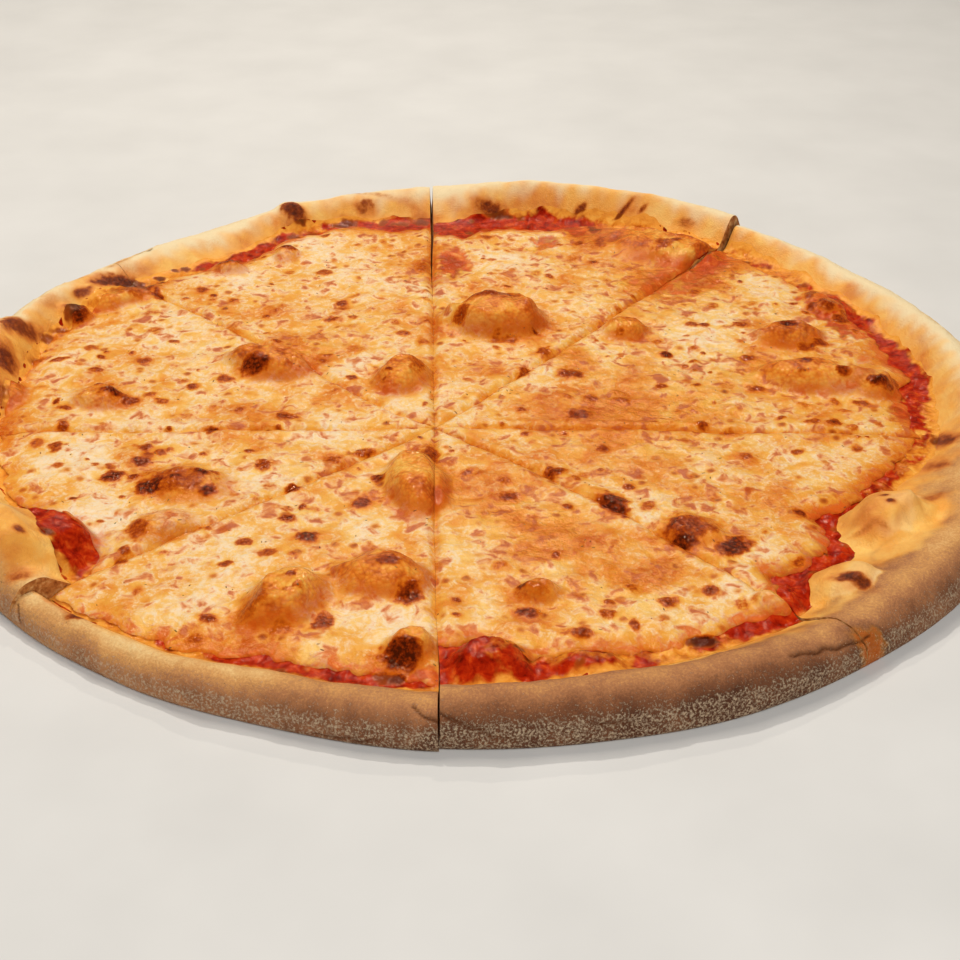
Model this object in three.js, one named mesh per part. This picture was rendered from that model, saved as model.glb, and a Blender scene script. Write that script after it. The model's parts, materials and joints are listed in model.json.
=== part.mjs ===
// A large round cheese pizza, cut into eight slices that still lie together.
// Each slice is three bodies that run from its tip to the edge: the crust with
// its raised rim, the sauce on it and the melted cheese on the sauce.
// Millimetres, +Z up. The pizza rests on the plane z = 0. +X is to the right and
// +Y is towards the back, as the pizza is seen from its front.

import * as THREE from "three";

// ---- Driving dimensions ----------------------------------------------------

const BASE_THICKNESS = 4.5; // baked dough under the sauce
const SAUCE_THICKNESS = 1.0;
const SAUCE_EDGE_THICKNESS = 0.5;
const CHEESE_THICKNESS = 2.5;
const CHEESE_EDGE_THICKNESS = 0.9;
const LAYER_GAP = 0.3;
const CUT_GAP = 0.4; // between two slices where the cut stayed shut

const RIM_WIDEST_HEIGHT = 2.5; // the rim is widest just above the table
const RIM_FOOT_INSET = 2.5; // and rounds in under itself to its flat bottom
const CREST_SHARE = 0.5; // the crest lies at this share of the sauce's inset
const CREST_INSET_MIN = 9;
const CREST_INSET_MAX = 13;
const MID_SLOPE_SHARE = 0.55; // one more row between the sauce's end and the crest
const SAUCE_CLIMB = 6; // how far the sauce reaches up the rim's inner slope
const SAUCE_SHELF = 1; // flat sauce past the cheese's edge

const CHEESE_SHOULDER = 3; // width of the cheese's rounded outer edge
const BUBBLE_FADE = 9; // bubbles under the cheese die out this close to its edge
const CHEESE_SAG_AT_CUT = 0.5; // the cheese dips where the cutter pressed it
const CHEESE_LUMP = 0.45; // low unevenness all over
const LUMP_LENGTH_X = 13;
const LUMP_LENGTH_Y = 10;

// The cuts cross a little to the left of and in front of the pizza's middle.
const CUT_CROSSING = new THREE.Vector2(-16.4, -29.6);

// The cuts' directions from the crossing, in degrees from +X, and how far each
// side of the cut has opened, in degrees.
const CUTS = [
  { towards: -1, opening: 0 },
  { towards: 52.9, opening: 0.3 },
  { towards: 92, opening: 0.32 },
  { towards: 137.2, opening: 0 },
  { towards: 182, opening: 0 },
  { towards: 221.5, opening: 0.05 },
  { towards: 272, opening: 0.1 },
  { towards: 315, opening: 0.1 },
  { towards: 359, opening: 0 },
];

// Each slice at four even stations, from its first cut round to the next one:
// radius   outer edge of the rim, from the pizza's middle
// rim      height of the rim's crest
// sauce    how far inside the outer edge the sauce ends
// cheese   how far inside the outer edge the cheese ends
const SLICES = [
  {
    radius: [229, 229, 228.5, 228],
    rim: [18, 18.5, 15, 16],
    sauce: [30, 24, 20, 15],
    cheese: [48, 38, 36, 34],
  },
  {
    radius: [230, 229, 228.5, 228.5],
    rim: [21, 22.5, 22.5, 20],
    sauce: [22, 16, 18, 32],
    cheese: [32, 26, 42, 50],
  },
  {
    radius: [229.5, 228, 226.5, 227],
    rim: [19, 17, 14, 14.5],
    sauce: [27, 17, 27, 21],
    cheese: [42, 30, 44, 38],
  },
  {
    radius: [227, 229, 230, 229],
    rim: [14.5, 18, 18, 18],
    sauce: [21, 20, 26, 24],
    cheese: [38, 32, 32, 28],
  },
  {
    radius: [229, 229, 229, 228.5],
    rim: [18, 17, 16, 15],
    sauce: [24, 26, 28, 24],
    cheese: [32, 30, 39, 33],
  },
  {
    radius: [228.5, 227, 225.3, 227],
    rim: [11, 12, 15, 14],
    sauce: [15, 16, 20, 23],
    cheese: [18, 22, 30, 31],
  },
  {
    radius: [225.6, 225.6, 227.3, 226.5],
    rim: [17, 17, 17, 13],
    sauce: [22, 26, 27, 24],
    cheese: [54, 44, 40, 32],
  },
  {
    radius: [227.5, 229, 230, 229],
    rim: [16, 17, 19, 18],
    sauce: [34, 42, 46, 31],
    cheese: [48, 52, 60, 47],
  },
];

// Bubbles that rose in the oven: the middle, the half lengths along and across,
// the turn in degrees and the height over the surface around.
const BUBBLES = [
  { x: 10, y: 71, along: 27, across: 19, turn: -5, height: 12 },
  { x: -93, y: 24, along: 24, across: 14, turn: -20, height: 8 },
  { x: -33, y: 14, along: 18, across: 13, turn: 80, height: 7 },
  { x: 70, y: 62, along: 12, across: 11, turn: 0, height: 6 },
  { x: 146, y: 56, along: 18, across: 13, turn: 10, height: 7 },
  { x: 150, y: 14, along: 25, across: 14, turn: -12, height: 8 },
  { x: 176, y: 8, along: 15, across: 12, turn: -20, height: 6 },
  { x: -23, y: -76, along: 26, across: 14, turn: 98, height: 8 },
  { x: -67, y: -155, along: 20, across: 15, turn: 60, height: 9 },
  { x: -33, y: -140, along: 19, across: 15, turn: -15, height: 7 },
  { x: -113, y: -76, along: 19, across: 15, turn: -20, height: 4 },
  { x: -118, y: -107, along: 15, across: 12, turn: 30, height: 5 },
  { x: -163, y: -8, along: 15, across: 11, turn: -20, height: 5 },
  { x: -176, y: 95, along: 22, across: 13, turn: 35, height: 6 },
  { x: -190, y: 74, along: 9, across: 9, turn: 0, height: 7 },
  { x: -212, y: 32, along: 24, across: 13, turn: 100, height: 6 },
  { x: -208, y: -4, along: 20, across: 13, turn: 85, height: 6 },
  { x: -168, y: -126, along: 25, across: 21, turn: 50, height: 13 },
  { x: -98, y: 189, along: 10, across: 9, turn: 0, height: 3.5 },
  { x: -98, y: 147, along: 11, across: 8, turn: 100, height: 4 },
  { x: -126, y: 129, along: 11, across: 8, turn: -20, height: 4 },
  { x: 97, y: 160, along: 36, across: 22, turn: -20, height: 7 },
  { x: 171, y: 92, along: 19, across: 13, turn: 110, height: 5 },
  { x: 153, y: -98, along: 27, across: 19, turn: 65, height: 13 },
  { x: 133, y: -143, along: 16, across: 14, turn: 30, height: 7 },
  { x: 110, y: -152, along: 13, across: 10, turn: 60, height: 4 },
  { x: 6, y: -189, along: 17, across: 12, turn: 0, height: 9 },
  { x: 40, y: -188, along: 14, across: 9, turn: 0, height: 4 },
  { x: -21, y: -182, along: 10, across: 9, turn: 0, height: 6 },
  { x: 24, y: -149, along: 9, across: 8, turn: 0, height: 4 },
  { x: 85, y: -108, along: 14, across: 11, turn: -40, height: 3 },
];

const BUBBLE_ROUNDNESS = 1.5; // 0.5 is half a ball, more spreads into the surface

const RIM_COLUMNS = 20; // divisions of a slice from cut to cut, at its edge
const CHEESE_RINGS = 19; // divisions of the cheese from tip to edge
const OUTER_ROUND_DEGREES = [62, 36, 14, 0]; // rows down the rim's outer side

const FINISHES = {
  crust: { color: "#c99a63", roughness: 0.85, metalness: 0 },
  sauce: { color: "#a8321c", roughness: 0.35, metalness: 0 },
  cheese: { color: "#ecc277", roughness: 0.4, metalness: 0 },
};

// ---- Small helpers ---------------------------------------------------------

const mix = THREE.MathUtils.lerp;
const clamp = THREE.MathUtils.clamp;
const radians = THREE.MathUtils.degToRad;

function smooth(t) {
  return THREE.MathUtils.smoothstep(t, 0, 1);
}

// The value between even stations, eased from each one to the next.
function between(stations, share) {
  const place = clamp(share, 0, 1) * (stations.length - 1);
  const first = Math.min(Math.floor(place), stations.length - 2);
  return mix(stations[first], stations[first + 1], smooth(place - first));
}

// ---- The pizza's surface ---------------------------------------------------

// How far the bubbles lift the surface at a place.
function bubbleRise(x, y) {
  let rise = 0;
  for (const bubble of BUBBLES) {
    const turn = radians(bubble.turn);
    const dx = x - bubble.x;
    const dy = y - bubble.y;
    const lengthwise = (dx * Math.cos(turn) + dy * Math.sin(turn)) / bubble.along;
    const sideways = (dy * Math.cos(turn) - dx * Math.sin(turn)) / bubble.across;
    const inside = Math.max(0, 1 - lengthwise ** 2 - sideways ** 2);
    rise += bubble.height * inside ** BUBBLE_ROUNDNESS;
  }
  return rise;
}

function cheeseLump(x, y) {
  const drift = Math.sin(y / LUMP_LENGTH_X);
  return CHEESE_LUMP * Math.sin(x / LUMP_LENGTH_X + drift) * Math.cos(y / LUMP_LENGTH_Y);
}

// One column of a slice: a straight line from the slice's tip to the rim's outer
// edge, with the distances along it at which the layers end.
function makeColumn(tip, angle, slice, share) {
  const direction = new THREE.Vector2(Math.cos(angle), Math.sin(angle));
  const radius = between(slice.radius, share);
  const back = tip.dot(direction);
  const reach = -back + Math.sqrt(back ** 2 + radius ** 2 - tip.lengthSq());
  const sauceInset = between(slice.sauce, share);
  const cheeseInset = between(slice.cheese, share);
  const footInset = Math.min(sauceInset + SAUCE_CLIMB, cheeseInset - 2 * SAUCE_SHELF);
  return {
    tip,
    direction,
    reach,
    share,
    rim: between(slice.rim, share),
    crest: reach - clamp(sauceInset * CREST_SHARE, CREST_INSET_MIN, CREST_INSET_MAX),
    sauce: reach - sauceInset,
    foot: reach - footInset,
    cheese: reach - cheeseInset,
  };
}

function pointOn(column, distance, height) {
  const flat = column.direction.clone().multiplyScalar(distance).add(column.tip);
  return new THREE.Vector3(flat.x, flat.y, height);
}

function riseOn(column, distance) {
  const flat = pointOn(column, distance, 0);
  return bubbleRise(flat.x, flat.y);
}

// The dough's upper side, from the slope's foot up to the crest.
function slopeHeight(column, distance) {
  const climb = smooth((distance - column.foot) / (column.crest - column.foot));
  return mix(BASE_THICKNESS, column.rim, climb) + riseOn(column, distance);
}

// The columns of one slice, from its first cut to its second. The tip stands back
// from the crossing, so that each side keeps half a gap to its cut.
function sliceColumns(slice, firstCut, secondCut) {
  const from = radians(firstCut.towards);
  const to = radians(secondCut.towards);
  const middle = (from + to) / 2;
  const setback = CUT_GAP / 2 / Math.sin((to - from) / 2);
  const away = new THREE.Vector2(Math.cos(middle), Math.sin(middle));
  const tip = away.multiplyScalar(setback).add(CUT_CROSSING);
  const start = from + radians(firstCut.opening);
  const end = to - radians(secondCut.opening);
  return (count) =>
    Array.from({ length: count + 1 }, (_, index) => {
      const share = index / count;
      return makeColumn(tip, mix(start, end, share), slice, share);
    });
}

// ---- Closed bodies from rows of points -------------------------------------

// A wedge body between an upper and a lower set of rows. Each row runs from the
// first cut to the second, and the rows follow each other from the tip outwards.
class Wedge {
  constructor() {
    this.points = [];
    this.triangles = [];
  }

  addRow(points) {
    return points.map((point) => this.points.push(point) - 1);
  }

  // Fills the strip between two rows, whatever their numbers of points: the row
  // whose next point comes first by its key takes the next triangle.
  lace(rowA, rowB, keysA, keysB, flip) {
    let a = 0;
    let b = 0;
    while (a < rowA.length - 1 || b < rowB.length - 1) {
      const nextA = a < rowA.length - 1 ? keysA[a + 1] : Infinity;
      const nextB = b < rowB.length - 1 ? keysB[b + 1] : Infinity;
      const third = nextA < nextB ? rowA[a + 1] : rowB[b + 1];
      const triangle = [rowA[a], rowB[b], third];
      this.triangles.push(flip ? triangle.reverse() : triangle);
      if (nextA < nextB) {
        a += 1;
      } else {
        b += 1;
      }
    }
  }

  laceByShare(rowA, rowB, flip) {
    const shares = (row) => row.map((_, index) => index / Math.max(1, row.length - 1));
    this.lace(rowA, rowB, shares(rowA), shares(rowB), flip);
  }

  // The flat side at a cut, between the upper and the lower rows' end points.
  closeSide(upper, lower, pick, flip) {
    const tip = this.points[upper[0][0]];
    const distance = (id) => Math.hypot(this.points[id].x - tip.x, this.points[id].y - tip.y);
    const top = upper.map(pick);
    const bottom = lower.map(pick);
    this.lace(top, bottom, top.map(distance), bottom.map(distance), flip);
  }

  geometry(upperPoints, lowerPoints) {
    const upper = upperPoints.map((row) => this.addRow(row));
    const lower = lowerPoints.map((row) => this.addRow(row));
    for (let row = 1; row < upper.length; row += 1) {
      this.laceByShare(upper[row - 1], upper[row], false);
    }
    for (let row = 1; row < lower.length; row += 1) {
      this.laceByShare(lower[row - 1], lower[row], true);
    }
    this.laceByShare(upper.at(-1), lower.at(-1), false);
    this.closeSide(upper, lower, (row) => row[0], false);
    this.closeSide(upper, lower, (row) => row.at(-1), true);
    const geometry = new THREE.BufferGeometry().setFromPoints(this.points);
    geometry.setIndex(this.triangles.flat());
    geometry.computeVertexNormals();
    return geometry;
  }
}

// The two end points of a row, enough for a flat hidden side.
function endsOnly(row) {
  return row.length === 1 ? row : [row[0], row.at(-1)];
}

function atHeight(row, height) {
  return row.map((point) => new THREE.Vector3(point.x, point.y, height));
}

// ---- The three layers of a slice -------------------------------------------

function crustGeometry(columnsOf) {
  const columns = columnsOf(RIM_COLUMNS);
  const onSlope = (distanceOf) =>
    columns.map((column) => {
      const distance = distanceOf(column);
      return pointOn(column, distance, slopeHeight(column, distance));
    });
  const tip = [pointOn(columns[0], 0, BASE_THICKNESS)];
  const shelf = columns.map((column) =>
    pointOn(column, column.cheese + SAUCE_SHELF, BASE_THICKNESS),
  );
  const inner = [
    tip,
    shelf,
    onSlope((column) => column.foot),
    onSlope((column) => column.sauce),
    onSlope((column) => mix(column.sauce, column.crest, MID_SLOPE_SHARE)),
    onSlope((column) => column.crest),
  ];
  const outer = OUTER_ROUND_DEGREES.map((degrees) => {
    const turn = radians(degrees);
    return columns.map((column) => {
      const crestHeight = slopeHeight(column, column.crest);
      const distance = mix(column.crest, column.reach, Math.cos(turn));
      return pointOn(column, distance, mix(RIM_WIDEST_HEIGHT, crestHeight, Math.sin(turn)));
    });
  });
  const sole = columns.map((column) => pointOn(column, column.reach - RIM_FOOT_INSET, 0));
  const bottom = inner.map((row) => endsOnly(atHeight(row, 0)));
  return new Wedge().geometry([...inner, ...outer], [...bottom, sole]);
}

function sauceGeometry(columnsOf) {
  const columns = columnsOf(RIM_COLUMNS);
  const rowsOver = (inside, edge) => {
    const tip = [pointOn(columns[0], 0, BASE_THICKNESS + inside)];
    const shelf = columns.map((column) =>
      pointOn(column, column.cheese + SAUCE_SHELF, BASE_THICKNESS + inside),
    );
    const foot = columns.map((column) =>
      pointOn(column, column.foot, slopeHeight(column, column.foot) + inside),
    );
    const end = columns.map((column) =>
      pointOn(column, column.sauce, slopeHeight(column, column.sauce) + edge),
    );
    return [tip, shelf, foot, end];
  };
  const upper = rowsOver(LAYER_GAP + SAUCE_THICKNESS, LAYER_GAP + SAUCE_EDGE_THICKNESS);
  const lower = rowsOver(LAYER_GAP, LAYER_GAP);
  return new Wedge().geometry(upper, lower);
}

function cheeseGeometry(columnsOf) {
  const floor = BASE_THICKNESS + SAUCE_THICKNESS + LAYER_GAP * 2;
  const ring = (share) => {
    const count = Math.max(2, Math.round(RIM_COLUMNS * share));
    return columnsOf(count).map((column) => {
      const distance = (column.cheese - CHEESE_SHOULDER) * share;
      const flat = pointOn(column, distance, 0);
      const atCut = column.share === 0 || column.share === 1;
      const sag = atCut ? CHEESE_SAG_AT_CUT : 0;
      const fade = smooth((column.cheese - distance) / BUBBLE_FADE);
      const body = CHEESE_THICKNESS + cheeseLump(flat.x, flat.y) - sag;
      return pointOn(column, distance, floor + body + riseOn(column, distance) * fade);
    });
  };
  const columns = columnsOf(RIM_COLUMNS);
  const tip = [pointOn(columns[0], 0, floor + CHEESE_THICKNESS)];
  const rings = Array.from({ length: CHEESE_RINGS }, (_, index) =>
    ring((index + 1) / CHEESE_RINGS),
  );
  const edge = columns.map((column) =>
    pointOn(column, column.cheese, floor + CHEESE_EDGE_THICKNESS),
  );
  const upper = [tip, ...rings, edge];
  const lower = upper.map((row) => endsOnly(atHeight(row, floor)));
  lower[lower.length - 1] = atHeight(edge, floor);
  return new Wedge().geometry(upper, lower);
}

// ---- The whole pizza -------------------------------------------------------

const LAYERS = { crust: crustGeometry, sauce: sauceGeometry, cheese: cheeseGeometry };

function makeSlice(slice, index) {
  const columnsOf = sliceColumns(slice, CUTS[index], CUTS[index + 1]);
  const group = new THREE.Group();
  for (const [layer, makeGeometry] of Object.entries(LAYERS)) {
    const material = new THREE.MeshStandardMaterial(FINISHES[layer]);
    const mesh = new THREE.Mesh(makeGeometry(columnsOf), material);
    mesh.name = `slice_${index + 1}_${layer}`;
    group.add(mesh);
  }
  return group;
}

// The origin is the middle of the pizza's box, on the plane that it rests on.
function makePizza() {
  const pizza = new THREE.Group();
  SLICES.forEach((slice, index) => pizza.add(makeSlice(slice, index)));
  const middle = new THREE.Box3().setFromObject(pizza, true).getCenter(new THREE.Vector3());
  pizza.position.set(-middle.x, -middle.y, 0);
  return pizza;
}

export default makePizza();
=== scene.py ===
# The looks of a large cheese pizza: eight slices that lie together, each of baked
# crust, tomato sauce and melted cheese. Lengths are in millimetres until a mesh is
# made. +X is to the right and +Y to the back, as the pizza is seen from its front.
import json
import math

import bpy
import numpy as np
from mathutils import Matrix, Vector

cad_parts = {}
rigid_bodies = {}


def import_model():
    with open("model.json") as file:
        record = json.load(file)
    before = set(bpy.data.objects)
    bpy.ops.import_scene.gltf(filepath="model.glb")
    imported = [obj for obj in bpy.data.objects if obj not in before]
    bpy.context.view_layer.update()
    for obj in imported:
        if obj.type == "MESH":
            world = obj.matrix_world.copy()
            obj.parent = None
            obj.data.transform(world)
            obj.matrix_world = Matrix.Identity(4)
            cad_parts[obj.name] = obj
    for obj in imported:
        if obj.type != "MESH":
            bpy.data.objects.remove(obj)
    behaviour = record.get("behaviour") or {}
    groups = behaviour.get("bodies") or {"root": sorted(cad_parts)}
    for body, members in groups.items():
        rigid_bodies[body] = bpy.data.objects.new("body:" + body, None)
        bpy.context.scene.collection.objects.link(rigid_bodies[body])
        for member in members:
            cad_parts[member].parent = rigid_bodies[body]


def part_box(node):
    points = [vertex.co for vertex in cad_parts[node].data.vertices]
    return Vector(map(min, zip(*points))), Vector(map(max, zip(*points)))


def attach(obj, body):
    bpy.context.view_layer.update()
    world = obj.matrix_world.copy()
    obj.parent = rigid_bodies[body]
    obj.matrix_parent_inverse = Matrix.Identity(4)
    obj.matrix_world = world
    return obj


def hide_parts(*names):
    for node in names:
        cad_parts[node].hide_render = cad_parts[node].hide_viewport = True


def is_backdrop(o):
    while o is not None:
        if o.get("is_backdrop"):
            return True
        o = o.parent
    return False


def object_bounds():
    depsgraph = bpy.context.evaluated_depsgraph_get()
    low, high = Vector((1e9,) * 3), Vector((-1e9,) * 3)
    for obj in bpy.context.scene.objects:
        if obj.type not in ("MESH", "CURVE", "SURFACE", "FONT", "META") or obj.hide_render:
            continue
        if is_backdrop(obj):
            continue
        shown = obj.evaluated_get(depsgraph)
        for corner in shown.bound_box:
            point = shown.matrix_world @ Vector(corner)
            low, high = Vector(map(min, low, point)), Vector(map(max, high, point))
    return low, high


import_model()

CAD_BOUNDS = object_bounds()
METRES = 0.001

# ---- The dough, the layers on it and the cuts ------------------------------------

BASE_THICKNESS = 4.5
SAUCE_THICKNESS = 1.0
CHEESE_THICKNESS = 2.5
LAYER_GAP = 0.3
SAUCE_FLOOR = BASE_THICKNESS + LAYER_GAP
CHEESE_FLOOR = SAUCE_FLOOR + SAUCE_THICKNESS + LAYER_GAP
CUT_GAP = 0.4  # between two slices of the part

RIM_WIDEST_HEIGHT = 2.5  # above the table, where the rim reaches furthest out
RIM_FOOT_INSET = 2.5  # how far the rim draws in from there to the table
CREST_SHARE = 0.5  # of the way from the rim's edge to the sauce's end, but
CREST_INSET = (9, 13)  # at least and at most this far from the edge
SAUCE_CLIMB = 6  # how far the sauce lies up the slope to the crest
SAUCE_SHELF = 2  # the least flat sauce between the cheese's end and that slope
LEAST_RING = 1.5  # the narrowest ring of sauce that shows outside the cheese
CHEESE_CREEP = 0.6  # the share of the ring that cheese ran over where it isn't bare

RIM_RADIUS = 228  # at which places along the rim are measured
CUT_CROSSING = np.array([-16.4, -29.6])

# Each cut: its direction in degrees, how far each side has opened at the rim and the
# distance from which it opens, and how far the cutter strayed to the left of a
# straight line and up to which distance.
CUTS = [
    (-1, 0.1, 120, 0.5, 150),
    (52.9, 1.1, 165, -1.2, 160),
    (92, 0.8, 120, 0.6, 120),
    (137.2, 0.1, 150, 3.5, 80),
    (182, 0.1, 150, 0.8, 150),
    (221.5, 0.3, 150, 1.0, 170),
    (272, 0.6, 130, -0.8, 150),
    (315, 0.5, 140, 5.6, 190),
    (359, 0.1, 120, 0.5, 150),
]
SHUT_GAP = 0.03  # left between two slices where the cheese flowed together again
OPENING_REACH = 235  # the distance at which the cuts have opened in full

# Each slice at four even stations, from its first cut round to the next one: outer
# radius, height of the rim, and how far inside the edge the sauce and cheese end.
SLICES = [
    dict(radius=(229, 229, 228.5, 228), rim=(18, 18.5, 15, 16),
         sauce=(30, 24, 20, 15), cheese=(46, 36, 34, 32)),
    dict(radius=(230, 229, 228.5, 228.5), rim=(21, 22.5, 22.5, 20),
         sauce=(22, 16, 18, 32), cheese=(32, 26, 42, 50)),
    dict(radius=(229.5, 228, 226.5, 227), rim=(19, 17, 14, 14.5),
         sauce=(27, 17, 27, 21), cheese=(42, 30, 44, 38)),
    dict(radius=(227, 229, 230, 229), rim=(14.5, 18, 18, 18),
         sauce=(21, 20, 26, 24), cheese=(38, 32, 32, 28)),
    dict(radius=(229, 229, 229, 228.5), rim=(18, 17, 16, 15),
         sauce=(24, 26, 28, 24), cheese=(32, 30, 39, 33)),
    dict(radius=(228.5, 227, 225.3, 227), rim=(11, 12, 15, 14),
         sauce=(15, 16, 20, 23), cheese=(18, 22, 30, 31)),
    dict(radius=(225.6, 225.6, 227.3, 227), rim=(17, 17, 17, 14.5),
         sauce=(22, 26, 27, 27), cheese=(54, 44, 40, 36)),
    dict(radius=(227, 229, 230, 229), rim=(14.5, 17, 19, 18),
         sauce=(30, 42, 46, 31), cheese=(44, 52, 60, 47)),
]

# Bubbles that rose in the oven: the middle, the half lengths along and across, the
# turn in degrees and the height.
BUBBLES = [
    (10, 71, 27, 19, -5, 12), (-93, 24, 24, 14, -20, 8), (-33, 14, 18, 13, 80, 7),
    (70, 62, 12, 11, 0, 6), (146, 56, 18, 13, 10, 7), (150, 14, 25, 14, -12, 8),
    (176, 8, 15, 12, -20, 6), (-23, -76, 26, 14, 98, 8), (-67, -155, 20, 15, 60, 9),
    (-33, -140, 19, 15, -15, 7), (-113, -76, 19, 15, -20, 4), (-118, -107, 15, 12, 30, 3.6),
    (-163, -8, 15, 11, -20, 5), (-176, 95, 22, 13, 35, 6), (-190, 74, 9, 9, 0, 7),
    (-212, 32, 24, 13, 100, 6), (-208, -4, 20, 13, 85, 6), (-163, -124, 25, 20, 50, 13),
    (-98, 189, 10, 9, 0, 3.5), (-98, 147, 11, 8, 100, 4), (-126, 129, 11, 8, -20, 4),
    (97, 160, 36, 22, -20, 7), (171, 92, 19, 13, 110, 5), (158, -101, 22, 16, 40, 10),
    (157, -102, 15, 11, 40, 4), (133, -143, 16, 14, 30, 7), (110, -152, 13, 10, 60, 4),
    (6, -189, 17, 12, 0, 9), (40, -188, 14, 9, 0, 4), (-21, -182, 10, 9, 0, 6),
    (24, -149, 9, 8, 0, 4), (85, -108, 14, 11, -40, 3), (178, -107, 14, 7, 60, -3),
]

# Where a bubble of dough came up bare: the middle, the half lengths and the turn. The
# layers on the dough, and their lower sides, sink this far there, out of sight.
BARE_BUBBLES = [(158, -101, 20, 15, 40), (134, -144, 13, 11, 30)]
BARE_SINK = dict(sauce=3.5, cheese=4.5, lower=6)

# ---- How uneven it is ------------------------------------------------------------

CHEESE_LUMP = 0.45  # how high the cheese lies in broad lumps
LUMP_LENGTH = (13, 10)  # those lumps' lengths along X and Y, each over two pi
SAUCE_LIP = 5  # how wide the sauce's edge is that thins out on the dough
CHEESE_LIP = 12  # the same for the cheese
CHEESE_ROUND = 13  # how wide the rounding of the cheese's edge is

# Swells that lie over each other: the height, the size and the seed of each. Those of
# an outline move it, in millimetres for an edge and in radii for a bubble or a spot.
SAUCE_EDGE = [(1.8, 13, 11), (0.6, 5, 12)]
CHEESE_EDGE = [(5, 21, 13), (3, 8, 14)]
BUBBLE_FOOT = [(0.12, 14, 3), (0.05, 6, 4)]
SPOT_OUTLINE = [(0.3, 4.5, 21), (0.15, 2, 22)]
PATCH_OUTLINE = [(0.35, 7, 41), (0.25, 3, 42)]
OIL_DRIFT = [(0.22, 34, 31), (0.12, 15, 32)]
CHEESE_SURFACE = [(0.5, 9, 51), (0.3, 4.2, 52), (0.12, 2.1, 53)]
SAUCE_PULP = [(0.5, 3.6, 61), (0.35, 1.9, 62), (0.4, 8, 63)]
CRUST_RELIEF = [(0.7, 26, 81), (0.35, 9, 82), (0.16, 3.6, 83), (0.08, 1.8, 84)]

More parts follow.
